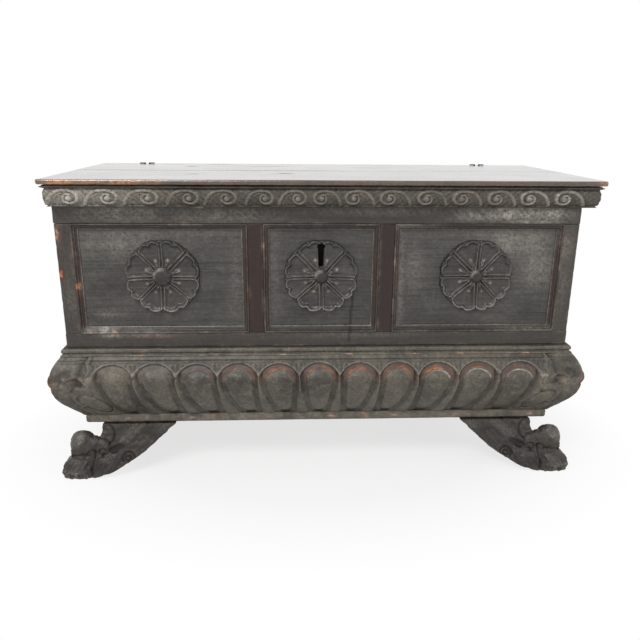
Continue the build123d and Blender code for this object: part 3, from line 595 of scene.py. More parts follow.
def lobe_relief(shift, limit, lean, red_from):
    """The relief of a run of leaning lobes with an upright leaf at the corner. Shift moves the
    lobes by a share of their pitch, limit is the number of the last lobe each way, lean is how
    far their feet lean to the middle, and the red ground shows from one place on."""
    pitch = carving().lobe_pitch / MM
    deep = carving().lobe_depth / MM
    low, top = BASE_LOW[2], BASE_HIGH[2]
    head, valley, surround_low = top - HEAD_DOWN, top - VALLEY_DOWN, top - SURROUND_DOWN
    stations = (LOBE_PLACES[0] - pitch,) + LOBE_PLACES + (LOBE_PLACES[-1] + pitch,)

    def relief(along, z, corner):
        middle = along if shift == 0 else along - (FRONT + BACK) / 2 - 20.0
        # The feet of the lobes lean towards the middle of the chest.
        fall = np.clip((head - z) / (head - low), 0, 1)
        straight = middle + np.sign(middle) * lean * np.tanh(np.abs(middle) / 150) * fall ** 1.5
        straight = straight + ripple(straight / 70, z / 60, 0, 5) * 1.8
        if shift == 0:
            straight = (np.interp(straight, stations, np.arange(len(stations))) - limit - 1) * pitch
        number = np.clip(np.round(straight / pitch - shift) + shift, -limit, limit)
        aside = straight - number * pitch
        unlike = np.sin(number * 5.3)
        wobble = 1.5 * np.sin(number * 3.1 + 1.0)

        # Each lobe is an egg: round at the head, drawn in at the foot.
        wide = 29.5 + 1.0 * unlike
        drawn = wide * (1 - 0.46 * np.clip((head - z) / (head - low - 9), 0, 1) ** 1.5)
        rise = np.clip(z - head - wobble, 0, None) / 23.0 + np.clip(low + 27 - z, 0, None) / 19.0
        share = np.hypot(aside / drawn, rise)
        egg = -0.4 - 5.6 * np.clip(share, 0, 1) ** 2.4
        inside = smooth_step(1 - share, -0.09, 0.07)

        # Between the lobes a tongue widens from the point of the valley to the fillet.
        between = np.clip(pitch / 2 - np.abs(aside), 0, None)
        down = np.clip((valley - z) / (valley - low), 0, 1)
        tongue_width = 1.9 + 15.5 * down ** 1.25
        reach = between / tongue_width
        tongue = -1.6 - 3.0 * reach ** 2 - 1.2 * down * (1 - down) * 4
        on_tongue = smooth_step(1.12 - reach, 0, 0.40) * smooth_step(valley + 5 - z, 0, 6)
        crest = ridge(between, 2.4) * smooth_step(valley - z, -4, 2)
        crest = crest * smooth_step(0.55 - down, 0, 0.3)
        ground = -deep + 1.2 * ripple(straight / 9, z / 14, 0, 1) + 1.5 * down
        ground = ground * (1 - on_tongue) + tongue * on_tongue + crest * 0.7

        # The flat surround above low arches, with fluted darts in each valley.
        across = np.clip(np.abs(aside) / (pitch / 2), 0, 1)
        arch = surround_low + 0.4 * wobble - ARCH_RISE * (1 - np.sqrt(1 - across ** 2))
        above = smooth_step(z - arch, -0.8, 0.8)
        dish = smooth_step(z, head - 14, head + 8) * (1 - above)
        ground = ground + dish * (deep - 5.4) * smooth_step(between, 4, 12)
        fan = between / np.clip(z - (valley - 5.0), 2.0, None)
        flute = (0.5 - 0.5 * np.cos(fan * 19.0)) * smooth_step(surround_low - z, 0, 4)
        slope = ARCH_RISE / (pitch / 2) * across / np.sqrt(np.clip(1.001 - across ** 2, 0.03, 1))
        from_arch = (z - arch) / np.sqrt(1 + slope ** 2)
        surround = -0.6 - 2.8 * flute * smooth_step(from_arch, 2.0, 4.5)
        reeds = bell(z - top + 8.5, 1.1) + 0.8 * bell(z - top + 13.8, 0.9)
        surround = surround - 3.4 * reeds
        lip = bell(from_arch - 1.4, 1.1)
        height = ground * (1 - inside) + egg * inside
        height = height * (1 - above) + surround * above
        # A hollow under the foot of each lobe.
        pocket = bell(aside, 12.0, 4) * smooth_step(low + 14 - z, 0, 7)
        height = height - 2.0 * pocket

        # The small round at the foot beside the corner leaf.
        bud = np.hypot((corner - 66) / 23, (z - low - 42) / 27)
        beside = corner < 110
        bud_in = smooth_step(1.05 - bud, 0, 0.08) * beside
        height = height * (1 - bud_in) + (-0.2 - 5.2 * np.clip(bud, 0, 1.1) ** 2.4) * bud_in
        bud_groove = bell(bud - 1.14, 0.07) * beside
        height = height - 6.0 * bud_groove

        # The corner leaf: ribs fan out from its foot to a rolled, scalloped edge over a scoop.
        tall = np.clip((z - low - 30) / (top - low - 30), 0, 1)
        outline = 26 + 62 * np.sin(tall * math.pi * 0.86) ** 0.7 + 7.0 * np.abs(np.sin(z / 9.5))
        leaf_edge = outline - corner
        on_leaf = smooth_step(leaf_edge, -0.8, 1.2)
        angle = np.arctan2(corner + 4, z - low + 34)
        ribs = np.abs(np.sin(angle * 8.5 + 0.5 * np.sin(z / 15.0))) ** 0.6
        roll = bell(leaf_edge - 4.5, 3.4)
        leaf = -8.4 + 5.6 * ribs + 4.4 * roll * (1 - 0.35 * ribs)
        lift = z - (top - 56)
        scoop = np.hypot((corner - 62 - 0.4 * lift) / 23, (lift + 2 + 0.35 * (corner - 62)) / 14)
        scooped = smooth_step(1.0 - scoop, -0.05, 0.35)
        brow = bell(scoop - 1.12, 0.13) * smooth_step(lift, -10, 2)
        leaf = leaf - 5.0 * scooped + 4.5 * brow
        leaf = leaf + 2.6 * bell(corner, 6.0)
        leaf = np.clip(leaf, -11, -0.2)
        on_leaf = on_leaf * (1 - bud_in)
        vein = 0.5 * np.cos(angle * 57.0)
        blot = bell(np.hypot((corner - 34) / 13, (lift - 20) / 7), 1, 4)
        blot = blot + bell(np.hypot((corner - 22) / 8, (lift - 4) / 12), 1, 4)
        near = smooth_step(104 - corner, 0, 8) * (1 - bud_in)
        height = height * (1 - on_leaf) + (leaf + vein * 0.6) * on_leaf
        height = height - 4.0 * bell(leaf_edge + 2.6, 2.0) * near - 3.5 * blot * on_leaf

        # The carver's tool marks and small losses.
        height = height + 0.5 * (ripple(along / 17, z / 15, 0, 4) - 0.4)
        height = height + 0.3 * (ripple(along / 3.9, z / 4.3, 0, 7) - 0.5)
        height = height - 0.9 * smooth_step(ripple(along / 2.6, z / 2.3, 0, 17), 1.0, 1.7)
        height = np.minimum(height, 0.0)

        # The red band round the heads of the lobes, where wear shows, and painted light: the cut
        # mark lays a painted shade on the deep ground, the grooves, reeds, flutes and pockets, and
        # under each arch, and the worn and light grey marks lay painted highlights on the lips over
        # the arches, the crests, and the rims of the lobes towards the right.
        off_leaf = 1 - on_leaf
        low_ground = (1 - inside) * (1 - above)
        band = low_ground * off_leaf * (1 - bud_in)
        band = band * smooth_step(z, head - 12, head + 6) * (1 - crest)
        fade = 0.25 + 0.75 * smooth_step(along, red_from, red_from + 170)
        fade = fade * (1 - 0.35 * smooth_step(along, 330, 420))
        patchy = 0.5 + 0.5 * ripple(along / 15, z / 8, 0, 8)
        stray = share + 0.10 * ripple(along / 9, z / 7, 0, 12)
        glow = bell(stray - 1.15, 0.07) + 0.6 * bell(stray - 1.34, 0.05)
        red = band * fade * (0.62 + 0.25 * patchy + 0.62 * glow * smooth_step(patchy, 0.40, 0.80))
        # A painted shade along the foot of each arch, over the red band.
        painted_shade_under_arch = bell(from_arch + 2.0, 1.6)
        red = red * smooth_step(share, 0.98, 1.12) * (1 - 0.4 * painted_shade_under_arch)
        edge_line = bell(share - 1.05, 0.05) * (1 - above) * off_leaf
        cut = np.clip(-(height + 5.6) / 4.4, 0, 1) * (1 - 0.75 * np.clip(red, 0, 1))
        cut = cut * (1 - 0.6 * on_leaf)
        cut = cut + pocket + bud_groove + 0.5 * flute * above
        cut = cut + (0.7 * (1 - ribs) ** 2 + 0.35 * scooped + 0.5 * blot) * on_leaf
        cut = 0.8 * cut + 0.15 * edge_line * (z < head)
        cut = cut + 0.7 * reeds * above + 0.7 * painted_shade_under_arch * band
        # A painted highlight on the rims of the heads, strong on the lobes towards the right.
        rim = bell(share - 0.99, 0.035) * smooth_step(z, head + 1, head + 7)
        painted_highlight = smooth_step(along, 210, 290) * smooth_step(aside + 8 * unlike, -26, 4) * rim
        worn = 0.9 * lip * off_leaf + 0.8 * crest * low_ground
        worn = worn + 0.8 * (roll + brow) * on_leaf + 0.9 * painted_highlight * off_leaf
        worn = worn + 0.10 * bell(share - 0.93, 0.08) * (1 - above)
        worn = worn + 0.9 * bell(corner, 5.0) * smooth_step(z, top - 90, top - 35)
        worn = worn + 0.4 * smooth_step(z, top - 3.0, top)
        worn = worn + 0.35 * on_tongue * (1 - inside) * (1 - reach)
        worn = worn + 0.8 * bell(bud - 0.92, 0.08) * bud_in * (z > low + 26)
        worn = worn + 0.5 * low_ground * bell(share - 1.16, 0.05) * dish
        pale = (0.9 * painted_highlight + 0.16 * rim * fade + 0.34 * lip) * off_leaf * (1 - bud_in)
        worn = worn * (0.75 + 0.25 * ripple(along / 31, z / 27, 0, 9))
        red = np.maximum(red, 1.25 * brow * on_leaf * (0.6 + 0.4 * np.sin(corner / 7)))
        red = np.maximum(red, 1.2 * bell(corner - 3, 5.0) * bell(z - top + 58, 16))
        return height, worn, cut, red, pale

    return relief


def base_corners(point):
    """The four stations of a base moulding: back left, front left, front right, back right."""
    reach, z = point
    wide = HALF + reach
    return [Vector((-wide, BACK, z)), Vector((-wide, FRONT - reach, z)),
            Vector((wide, FRONT - reach, z)), Vector((wide, BACK, z))]


def wobble_run(mesh, amount, seed):
    """Slight unevenness of a long hand-planed moulding, always inwards, with worn crests."""
    spots = coordinates(mesh)
    x, y, z = spots.T
    inward = np.clip(0.5 + 0.5 * ripple(x / 43, y / 43, z / 19, seed), 0, 1) * amount
    small = np.clip(0.5 + 0.5 * ripple(x / 5.3, y / 5.9, z / 3.1, seed + 2), 0, 1) * amount * 0.5
    normals = read_all(mesh.vertices, "normal", 3)
    shown = (normals[:, 1] < -0.2) | (np.abs(normals[:, 0]) > 0.2) & (y < BACK - 1)
    place_vertices(mesh, spots - normals * ((inward + small) * shown)[:, None])
    return np.clip(ripple(x / 27, y / 27, z / 9, seed + 5) * 0.5 + 0.5, 0, 1) * shown


# The two mouldings of the base, from the bottom up: distance back from the outermost line, and
# height. The last point lies at the moulding's top.
BEAD = ((0, 0), (0, 2.2), (1.2, 3.2), (3.4, 3.8), (4.6, 4.8), (4.8, 5.8), (4.0, 6.8), (2.8, 7.4),
        (2.1, 9.2), (2.0, 12.0), (2.5, 14.8), (4.0, 16.8), (6.5, None))
FILLET = ((7.0, 0), (3.4, 1.0), (1.2, 3.2), (0.2, 6.5), (0.1, 12), (0, 17.5), (0.7, 20.5),
          (2.4, None))


def base_moulding(kind, shape, seed):
    """One moulding of the base, in a run round the front and both sides."""
    low, high = box(kind + "_front")
    outline = [(FRONT - low[1] - back, high[2] if up is None else low[2] + up)
               for back, up in shape]
    outline = [(INNER_REACH, low[2])] + outline + [(INNER_REACH, high[2])]
    mesh = to_mesh(swept(outline, base_corners, False, 5.0, (
        (0, -HALF - 10, HALF + 10), (1, FRONT + 1, BACK - 1))), kind + "_run")
    crest = wobble_run(mesh, 0.6, seed)
    x, y, z = coordinates(mesh).T
    reach = np.maximum(np.abs(x) - HALF, FRONT - y)
    outer = smooth_step(reach, reach.max() - 4.0, reach.max() - 0.5)
    flecks = smooth_step(ripple(x / 13, y / 11, z / 3, seed + 3), 0.35, 0.9)
    yellow = 1.6 * flecks * outer * smooth_step(x + 60 * flecks, -620, -200)
    # The outer edge is worn, with orange flecks of bare wood and light grey flecks that are partly
    # a painted sheen, and the deeper parts of the profile take a painted shade.
    mark(mesh, worn=(0.25 + crest) * outer * 0.95, red=yellow, pale=0.30 * flecks * outer,
         cut=smooth_step(reach.max() - reach, 4.0, 8.0) * 0.9)
    return piece(mesh.name, mesh, wood("carved", "x"), "chest",
                 [kind + "_front", kind + "_left", kind + "_right"])


class CASSONE_OT_base(bpy.types.Operator):
    """Carves the swelling base with its lobes and corner leaves, and runs its mouldings"""

    bl_idname = "cassone.base"
    bl_label = "Carved base"

    def execute(self, context):
        outline = bulge_outline()
        # The red ground shows from a third of the front's length on, and all along the sides.
        for word, side, relief, cells, grain in (
                ("front", 0, lobe_relief(0, 5, 30.0, -330), (1.95, 1.9), "x"),
                ("left", -1, lobe_relief(0.5, 1.5, 0.0, -900), (2.1, 2.0), "y"),
                ("right", 1, lobe_relief(0.5, 1.5, 0.0, -900), (2.1, 2.0), "y")):
            carved_run("base_lobes_" + word, outline, relief, side, cells, FRONT, BACK, INNER_REACH,
                       grain, "chest", "gadroon_" + word)
        base_moulding("base_bead", BEAD, 1)
        base_moulding("base_fillet", FILLET, 4)
        return {"FINISHED"}


# --- Lid -----------------------------------------------------------------------------------------

# The eyes of the scroll, from the middle of the lid.
SCROLL_EYES_LEFT = (-543, -463, -380, -294, -215, -134, -64)
SCROLL_EYES_RIGHT = (-10, 59, 135, 215, 291, 366, 438, 514)
# One wave of the scroll: shares of the pitch across, millimetres up from the eye.
SCROLL_LINE = ((-0.55, -14), (-0.52, -7), (-0.47, 0), (-0.40, 7), (-0.30, 12), (-0.16, 14.8),
               (0.0, 15), (0.14, 12.5), (0.235, 7), (0.265, 0), (0.24, -7), (0.15, -12),
               (0.03, -13), (-0.07, -10), (-0.12, -4), (-0.10, 3), (-0.03, 6.6), (0.05, 5.5))
SCROLL_LEAF = ((-0.44, -15), (-0.40, -8), (-0.34, 0), (-0.25, 6.0), (-0.15, 8.0))
# On each side: how far behind the corner the first eye stands, the pitch, and how many there are.
SIDE_SCROLL_START, SIDE_SCROLL_PITCH, SIDE_SCROLL_EYES = 38, 80, 6


def line_distance(x, z, points):
    """Distance from each spot to a broken line, and how far along it the nearest point lies."""
    best = np.full(len(x), 1e9)
    where = np.zeros(len(x))
    count = len(points) - 1
    for number in range(count):
        (x0, z0), (x1, z1) = points[number], points[number + 1]
        dx, dz = x1 - x0, z1 - z0
        share = np.clip(((x - x0) * dx + (z - z0) * dz) / (dx * dx + dz * dz), 0, 1)
        gap = np.hypot(x - x0 - share * dx, z - z0 - share * dz)
        closer = gap < best
        best = np.where(closer, gap, best)
        where = np.where(closer, (number + share) / count, where)
    return best, where


def rounded_line(points):
    """A broken line with its corners cut twice, for a flowing curve."""
    line = np.array(points, float)
    for turn in range(2):
        first, second = line[:-1], line[1:]
        inner = np.stack([first * 0.75 + second * 0.25, first * 0.25 + second * 0.75], axis=1)
        line = np.vstack([line[:1], inner.reshape(-1, 2), line[-1:]])
    return [tuple(point) for point in line]


def scroll_relief(eyes, low, high):
    """The relief of a running scroll between the lower and upper edge of the frieze. Eyes are
    (place, pitch, direction)."""
    deep = carving().scroll_depth / MM
    eye_z = low + (high - low) * 0.44
    band_low, band_high = low + (high - low) * 0.02, low + (high - low) * 0.86

    def relief(along, z, corner):
        height = np.full(len(along), -deep)
        crest = np.zeros(len(along))
        for place, pitch, way in eyes:
            near = np.abs(along - place) < pitch * 0.9
            x, up = (along[near] - place) * way, z[near] - eye_z
            (main, share), (leaf, _) = (
                line_distance(x, up, rounded_line([(a * pitch, b) for a, b in line]))
                for line in (SCROLL_LINE, SCROLL_LEAF))
            thick = 4.9 - 2.3 * smooth_step(share, 0.35, 0.9)
            wave = ridge(main / thick, 1.0)
            vein = ridge(leaf, 1.7) * 0.55
            eye = np.clip(1 - (np.hypot(x - 0.03 * pitch, up + 2.0) / 6.2) ** 2.6, 0, 1) ** 0.5
            ray = 0.5 + 0.5 * np.cos((x * 0.8 + up) / 1.9)
            fill = 0.16 * ray * (x < -0.1 * pitch) * (main > 4)
            best = np.maximum.reduce([wave, vein, eye * 0.95, fill])
            height[near] = np.maximum(height[near], -deep + best * deep)
            # A painted highlight along both sides of each line of the scroll and on the eyes, laid
            # on through the worn and light grey marks.
            painted_highlight = bell(main - 0.35 * thick, 1.1)
            crest[near] = np.maximum(crest[near], np.maximum(painted_highlight, eye * 0.8))
        in_band = smooth_step(z, band_low - 1, band_low + 1)
        in_band = in_band * smooth_step(-z, -band_high - 1, -band_high + 1)
        height = height * in_band - 0.2 * (1 - in_band)
        height = height + 0.35 * (ripple(along / 11, z / 9, 0, 3) - 0.4)
        height = height + 0.2 * (ripple(along / 3.1, z / 3.3, 0, 6) - 0.5)
        height = np.minimum(height, 0.0)
        ground = np.clip(-height / deep, 0, 1) * in_band
        # A painted shade along the foot of the frieze, in the deep ground of the scroll and under
        # its upper edge.
        cut = smooth_step(low + 2.5 - z, 0, 2.0) + smooth_step(ground, 0.72, 1.0) * 0.65
        cut = cut + 0.5 * bell(z - band_high, 1.5)
        worn = crest * in_band * 0.7 + 0.5 * smooth_step(z, high - 3.5, high)
        worn = worn * (0.55 + 0.45 * ripple(along / 40, z / 21, 0, 2))
        left = smooth_step(-along, 300, 520)
        right = smooth_step(along, 330, 520)
        # The crests take a light grey painted highlight, stronger towards both ends, and the band
        # is lighter grey towards its left end.
        pale = in_band * (crest * (0.16 + 0.38 * left + 0.45 * right) + 0.30 * left + 0.06)
        return height, worn, cut, ground * 0.12, pale

    return relief


def even_eyes(places, way):
    """The eyes of one half of the scroll, each with the gap to the next as its pitch."""
    gaps = [abs(b - a) for a, b in zip(places, places[1:])]
    return [(place, gap, way) for place, gap in zip(places, gaps + gaps[-1:])]


# Thickness of the lid's two boards where they show, and of the carved frieze under them.
TOP_THICK, FRIEZE_THICK = 11.5, 46.0
# The frieze from the bottom up: distance out from its back, and height as a share.
FRIEZE = ((38, 0.0), (38.4, 0.05), (39.6, 0.10), (42.2, 0.17), (44.4, 0.27), (45.8, 0.40),
          (46, 0.55), (45.3, 0.70), (43.8, 0.79), (41.6, 0.84), (42.0, 0.875), (44.2, 0.90),
          (46, 0.92), (46, 0.95), (42, 0.96), (42, 1.0))
# Dull smudges on the polished top: across, back, half width, half depth, how dark.
SMUDGES = ((-326, 136, 18, 16, 0.6), (-289, -106, 12, 9, 0.5), (-80, -87, 18, 10, 0.9),
           (-262, 222, 34, 9, 0.5), (-120, 150, 60, 22, 0.25), (150, 120, 70, 16, 0.2))


class CASSONE_OT_lid(bpy.types.Operator):
    """Builds the lid: two boards with a worn nosing, and the carved frieze under them"""

    bl_idname = "cassone.lid"
    bl_label = "Lid"

    def execute(self, context):
        frieze_low, frieze_high = box("lid_frieze_front")
        for node, seed in (("lid_plank_front", 3.0), ("lid_plank_back", 7.0)):
            low, high = box(node)
            split = high[2] - TOP_THICK
            made = board(node + "_top", (low[0], low[1], split), high, wood("lid", "x"), [node],
                         (4, 9, 0), rounding=4.0, seed=seed, wear_scale=2.2, body="lid")
            nosing(made.data, seed)
            board(node + "_lining",
                  (frieze_low[0] + FRIEZE_THICK, max(low[1], frieze_high[1]), low[2]),
                  (frieze_high[0] - FRIEZE_THICK, high[1], split), wood("plain", "x"), (),
                  (24, 24, 0), rounding=0.8, seed=seed, body="lid", slot="inner_walnut")
        middle = (frieze_low[0] + frieze_high[0]) / 2
        reach = frieze_high[0] - middle - HALF
        corner_y = frieze_low[1] + reach
        inner = reach - FRIEZE_THICK
        back = box("lid_frieze_left")[1][1]
        low_z, high_z = frieze_low[2], frieze_high[2]
        outline = [(inner + out, low_z + up * (high_z - low_z)) for out, up in FRIEZE]
        eyes = even_eyes(SCROLL_EYES_LEFT, 1) + even_eyes(SCROLL_EYES_RIGHT, -1)
        side_eyes = [(corner_y + SIDE_SCROLL_START + SIDE_SCROLL_PITCH * number,
                      SIDE_SCROLL_PITCH, 1) for number in range(SIDE_SCROLL_EYES)]
        for word, side, places, cells, grain in (("front", 0, eyes, (1.5, 1.15), "x"),
                                                 ("left", -1, side_eyes, (1.6, 1.3), "y"),
                                                 ("right", 1, side_eyes, (1.6, 1.3), "y")):
            carved_run("lid_scroll_" + word, outline, scroll_relief(places, low_z, high_z), side,
                       cells, corner_y, back, inner, grain, "lid", "lid_frieze_" + word, middle)
        give_material("lid_back_rail", wood("plain", "x"))
        return {"FINISHED"}


def nosing(mesh, seed):
    """Bare wood along the front nosing, strongest at the left, and a softly waved top."""
    spots = coordinates(mesh) / MM
    x, y, z = spots.T
    low, high = spots.min(0), spots.max(0)
    top = smooth_step(z, high[2] - 1.2, high[2] - 0.2)
    wave = 0.35 * (ripple(x / 210, y / 46, 0, seed) - 1.0)
    worn = read_all(mesh.attributes["finish"].data, "color", 4)[:, 0] * 0.6
    front_edge = smooth_step(low[1] + 7.0 - y, 0, 5.0) * (low[1] < FRONT)
    left = smooth_step(-300 - x, 0, 70)
    right = smooth_step(x, high[0] - 28, high[0] - 16)
    fresh = front_edge * np.clip(0.10 + 0.85 * left + 0.8 * right, 0, 1)
    patchy = 0.70 + 0.75 * ripple(x / 24, y / 8, (z + wave * top) / 5, seed + 1)
    fresh = fresh * np.clip(patchy, 0.05, 1.3)
    cut = 0 * x
    for across, back, wide, deep, dark in SMUDGES:
        cut = np.maximum(cut, dark * bell(x - across, wide) * bell(y - back, deep))
    spots[:, 2] = z + wave * top
    place_vertices(mesh, spots * MM)
    mark(mesh, worn=worn * (1 - front_edge * 0.5), cut=cut * top, red=fresh)


# --- Case ----------------------------------------------------------------------------------------

# The reeded panel moulding: share of its width in from the opening, share of its rise out from
# the panel.
REEDS = ((0, 0), (0, 0.94), (0.05, 1.0), (0.16, 1.0), (0.24, 0.93), (0.27, 0.80), (0.29, 0.66),
         (0.36, 0.64), (0.42, 0.72), (0.52, 0.73), (0.58, 0.62), (0.60, 0.46), (0.66, 0.40),
         (0.76, 0.40), (0.82, 0.30), (0.86, 0.18), (0.95, 0.16), (1.0, 0.10), (1.0, 0))
MOULDING_WIDTH = 14.0
# Room left between a panel's edge and the frame round it.
CLEARANCE = 0.3


def panel_moulding(node, face, out, across, seed):
    """A mitred moulding round one panel. Face is the panel's plane along axis out, across is
    the level axis of the opening."""
    low, high = box(node)
    sign = 1 if (low[out] + high[out]) / 2 > face else -1
    rise = max(abs(low[out] - face), abs(high[out] - face))

    def corners(point):
        inset, up = point
        spots = []
        for a, b in ((0, 0), (1, 0), (1, 1), (0, 1)):
            spot = Vector((0, 0, 0))
            spot[across] = high[across] - inset if a else low[across] + inset
            spot[2] = high[2] - inset if b else low[2] + inset
            spot[out] = face + sign * up
            spots.append(spot)
        return spots

    outline = [(inset * MOULDING_WIDTH, up * rise) for inset, up in REEDS]
    between_mitres = [(axis, low[axis] + 15, high[axis] - 15) for axis in (across, 2)]
    mesh = to_mesh(swept(outline, corners, True, 4.0, between_mitres), node + "_worn")
    spots = coordinates(mesh)
    level, z = spots[:, across], spots[:, 2]
    depth = sign * (spots[:, out] - face)
    shake = ripple(level / 31, z / 29, depth / 3, seed)
    fine = ripple(level / 4.7, z / 4.9, depth / 2, seed + 4)
    aside = np.minimum(level - low[across], high[across] - level)
    above = np.minimum(z - low[2], high[2] - z)
    # The sticks at the sides are rubbed red, the innermost line, by the panel, takes a painted
    # highlight, and the low parts of the profile a painted shade.
    rubbed = smooth_step(ripple(z / 47, depth / 3, z / 19, seed + low[across]), 0.0, 0.6)
    red = smooth_step(above - aside, 0, 2) * (0.15 + 0.55 * rubbed) * smooth_step(aside, 1.0, 3.0)
    inner = smooth_step(np.minimum(aside, above), 11.2, 12.2) * (depth > 0.1)
    crest = smooth_step(depth, rise * 0.55, rise * 0.95)
    lower = (0.35 * (1 - shake) + 0.25 * (1 - fine)) * smooth_step(depth, 1.5, 5)
    spots[:, out] -= sign * lower
    place_vertices(mesh, spots)
    mark(mesh, worn=crest * smooth_step(shake + fine * 0.6, -0.1, 0.8) * 0.9, red=red,
         cut=smooth_step(rise * 0.5 - depth, 0, 2.5) * 0.7 * (1 - inner),
         pale=inner * (0.20 + 0.14 * shake))
    return piece(mesh.name, mesh, wood("case", "x"), "chest", [node])


# The keyhole is a round over a straight slot. Its foot and top are heights above the middle of
# the rosette, and the cutter runs from before the front to behind the panel.
KEYHOLE_RADIUS, KEYHOLE_HALF_SLOT = 9.0, 5.75
KEYHOLE_FOOT, KEYHOLE_TOP = 19.75, 75.75
CUTTER_BEFORE, CUTTER_LENGTH = 30, 90


def keyhole_cutter():
    """The keyhole as a solid, to cut the centre panel and its rosette."""
    boss_z = np.mean([corner[2] for corner in box("rosette_centre")])
    low, high = boss_z + KEYHOLE_FOOT, boss_z + KEYHOLE_TOP
    bm = bmesh.new()
    bmesh.ops.create_circle(bm, cap_ends=True, segments=32, radius=KEYHOLE_RADIUS)
    upright = Matrix.Rotation(math.pi / 2, 3, "X")
    bmesh.ops.rotate(bm, cent=(0, 0, 0), matrix=upright, verts=bm.verts)
    place = (0, FRONT - CUTTER_BEFORE, high - KEYHOLE_RADIUS)
    bmesh.ops.translate(bm, vec=place, verts=bm.verts)
    for vertex in bm.verts:
        if vertex.co.z < high - 15.0:
            vertex.co.z = low
            if abs(vertex.co.x) > 1:
                vertex.co.x = math.copysign(KEYHOLE_HALF_SLOT, vertex.co.x)
    bmesh.ops.remove_doubles(bm, verts=bm.verts, dist=0.01)
    solid = bmesh.ops.extrude_face_region(bm, geom=bm.faces[:])["geom"]
    bmesh.ops.translate(bm, vec=(0, CUTTER_LENGTH, 0), verts=corners_of(solid))
    bmesh.ops.recalc_face_normals(bm, faces=bm.faces)
    mesh = to_mesh(bm, "keyhole_cutter")
    mesh.transform(Matrix.Scale(MM, 4))
    return link_object("keyhole_cutter", mesh)


def cut_keyhole(made):
    cutter = keyhole_cutter()
    modifier = made.modifiers.new("keyhole", "BOOLEAN")
    modifier.object = cutter
    modifier.operation = "DIFFERENCE"
    modifier.solver = "EXACT"
    graph = bpy.context.evaluated_depsgraph_get()
    mesh = bpy.data.meshes.new_from_object(made.evaluated_get(graph))
    made.modifiers.clear()
    made.data = mesh
    bpy.data.objects.remove(cutter)
    if "finish" not in mesh.attributes:
        raise RuntimeError("the keyhole cut lost the wear marks of " + made.name)


# Knocks, bruises, stains and painted sheen on the front, as scuffs() takes them; the large light
# patches over the right half of the top rail, and the wide faint ones along it, are a painted
# sheen. Heights are from the top of the top rail, the top of the bottom rail, or the lower or upper
# edge of the openings.
TOP_RAIL_MARKS = (
    (425, -15, 64, 13, 0, 1.3), (500, -17, 52, 12, 0, 1.2), (360, -18, 70, 12, 0, 0.8),
    (470, -34, 60, 6, 0, 0.5), (-262, -2, 14, 3, 0, 1.0), (-314, -31, 22, 3.0, 1.6, 0),
    (-430, -16, 100, 14, 0, 0.5), (-220, -20, 120, 12, 0, 0.4), (120, -12, 160, 9, 0, 0.3),
    (0, -30, 150, 7, 0, -0.3), (-500, -34, 60, 5, 0, -0.3))
BOTTOM_RAIL_MARKS = (
    (-390, -4, 50, 6, 1.3, 0.35), (-470, -4, 30, 5, 0, 0.5), (-200, -21, 170, 8, 0, -0.35),
    (260, -14, 140, 7, 0, -0.4), (80, -7, 120, 5, 0, 0.15), (66, -9, 3.0, 11, 0, -4.0))
UPRIGHT_MARKS = {
    "front_stile_left": (
        (-571, -20, 7, 26, 1.9, 0.3), (-570, -110.5, 7, 12, 2.0, 0),
        (-537, -142.5, 6, 16, 2.0, 0.2), (-541, -65.5, 4, 30, 0.9, 0.1),
        (-540, -230.5, 6, 14, 0.8, 0.3), (-556, -170.5, 14, 40, 0, 0.14)),
    "front_stile_right": (
        (540, -26, 5, 14, 1.5, 0.2), (545, -50.5, 22, 30, 0, 0.25), (548, -140.5, 20, 60, 0, 0.12)),
    "front_muntin_left": ((-170, -12, 12, 8, 0, -0.5), (-158, -170.5, 5, 60, 0.75, 0)),
    "front_muntin_right": ((170, -90.5, 10, 50, 0, -0.3),)}
MOULDING_MARKS = {
    "left": ((-536, 108, 8, 15, 2.0, 0.2), (-540, 194, 6, 40, 0.7, 0.2), (-520, 5, 16, 8, 0.8, 0.6),
             (-492, 7, 14, 8, 0, 0.9), (-468, 5, 12, 7, 1.3, 0.5), (-400, 4, 60, 5, 0, 0.35)),
    "centre": ((67.5, 7, 3.0, 12, 0, -4.0),),
    "right": ((536, 214.5, 6, 22, 0.9, 0.2), (170, 118, 5, 60, 0.8, 0.1),
              (190, 244.5, 60, 5, 0, 0.3), (470, 4, 60, 5, 0, 0.35))}
# Painted sheen and dark patches on the panels, with their places and sizes as shares of each panel:
# the lighter patches are a painted sheen, the dark ones, most of them low down, make the panels
# darker towards the bottom, and the two narrow dark lines on the centre panel are a drip stain.
PANEL_MARKS = {
    "left": ((0.20, 0.42, 0.14, 0.07, 0, -0.95), (0.28, 0.82, 0.30, 0.13, 0, 0.24),
             (0.62, 0.90, 0.30, 0.07, 0, 0.10), (0.17, 0.17, 0.08, 0.03, 0, 0.25),
             (0.72, 0.30, 0.18, 0.10, 0, -0.5), (0.94, 0.55, 0.05, 0.40, 0, 0.10),
             (0.45, 0.07, 0.60, 0.12, 0, -0.35)),
    "centre": ((0.50, 0.50, 0.90, 0.90, 0, -0.22), (0.50, 0.10, 0.45, 0.10, 0, -0.35),
               (0.86, 0.45, 0.08, 0.35, 0, -0.35), (0.08, 0.60, 0.06, 0.40, 0, 0.10),
               (0.55, 0.93, 0.35, 0.05, 0, -0.2), (0.770, 0.12, 0.0100, 0.10, 0, -4.0),
               (0.785, 0.28, 0.0105, 0.09, 0, -4.5)),
    "right": ((0.72, 0.83, 0.24, 0.12, 0, 0.36), (0.88, 0.62, 0.10, 0.20, 0, 0.32),
              (0.30, 0.10, 0.30, 0.08, 0, -0.7), (0.80, 0.16, 0.18, 0.08, 0, -0.55),
              (0.04, 0.45, 0.03, 0.45, 0, 0.30), (0.12, 0.60, 0.07, 0.22, 0, 0.16))}


def placed(marks, up, left=0.0, wide=1.0, tall=1.0):
    """Marks moved and stretched from their own place to the place of a piece."""
    return [(left + x * wide, up + z * tall, half_x * wide, half_z * tall, *rest)
            for x, z, half_x, half_z, *rest in marks]


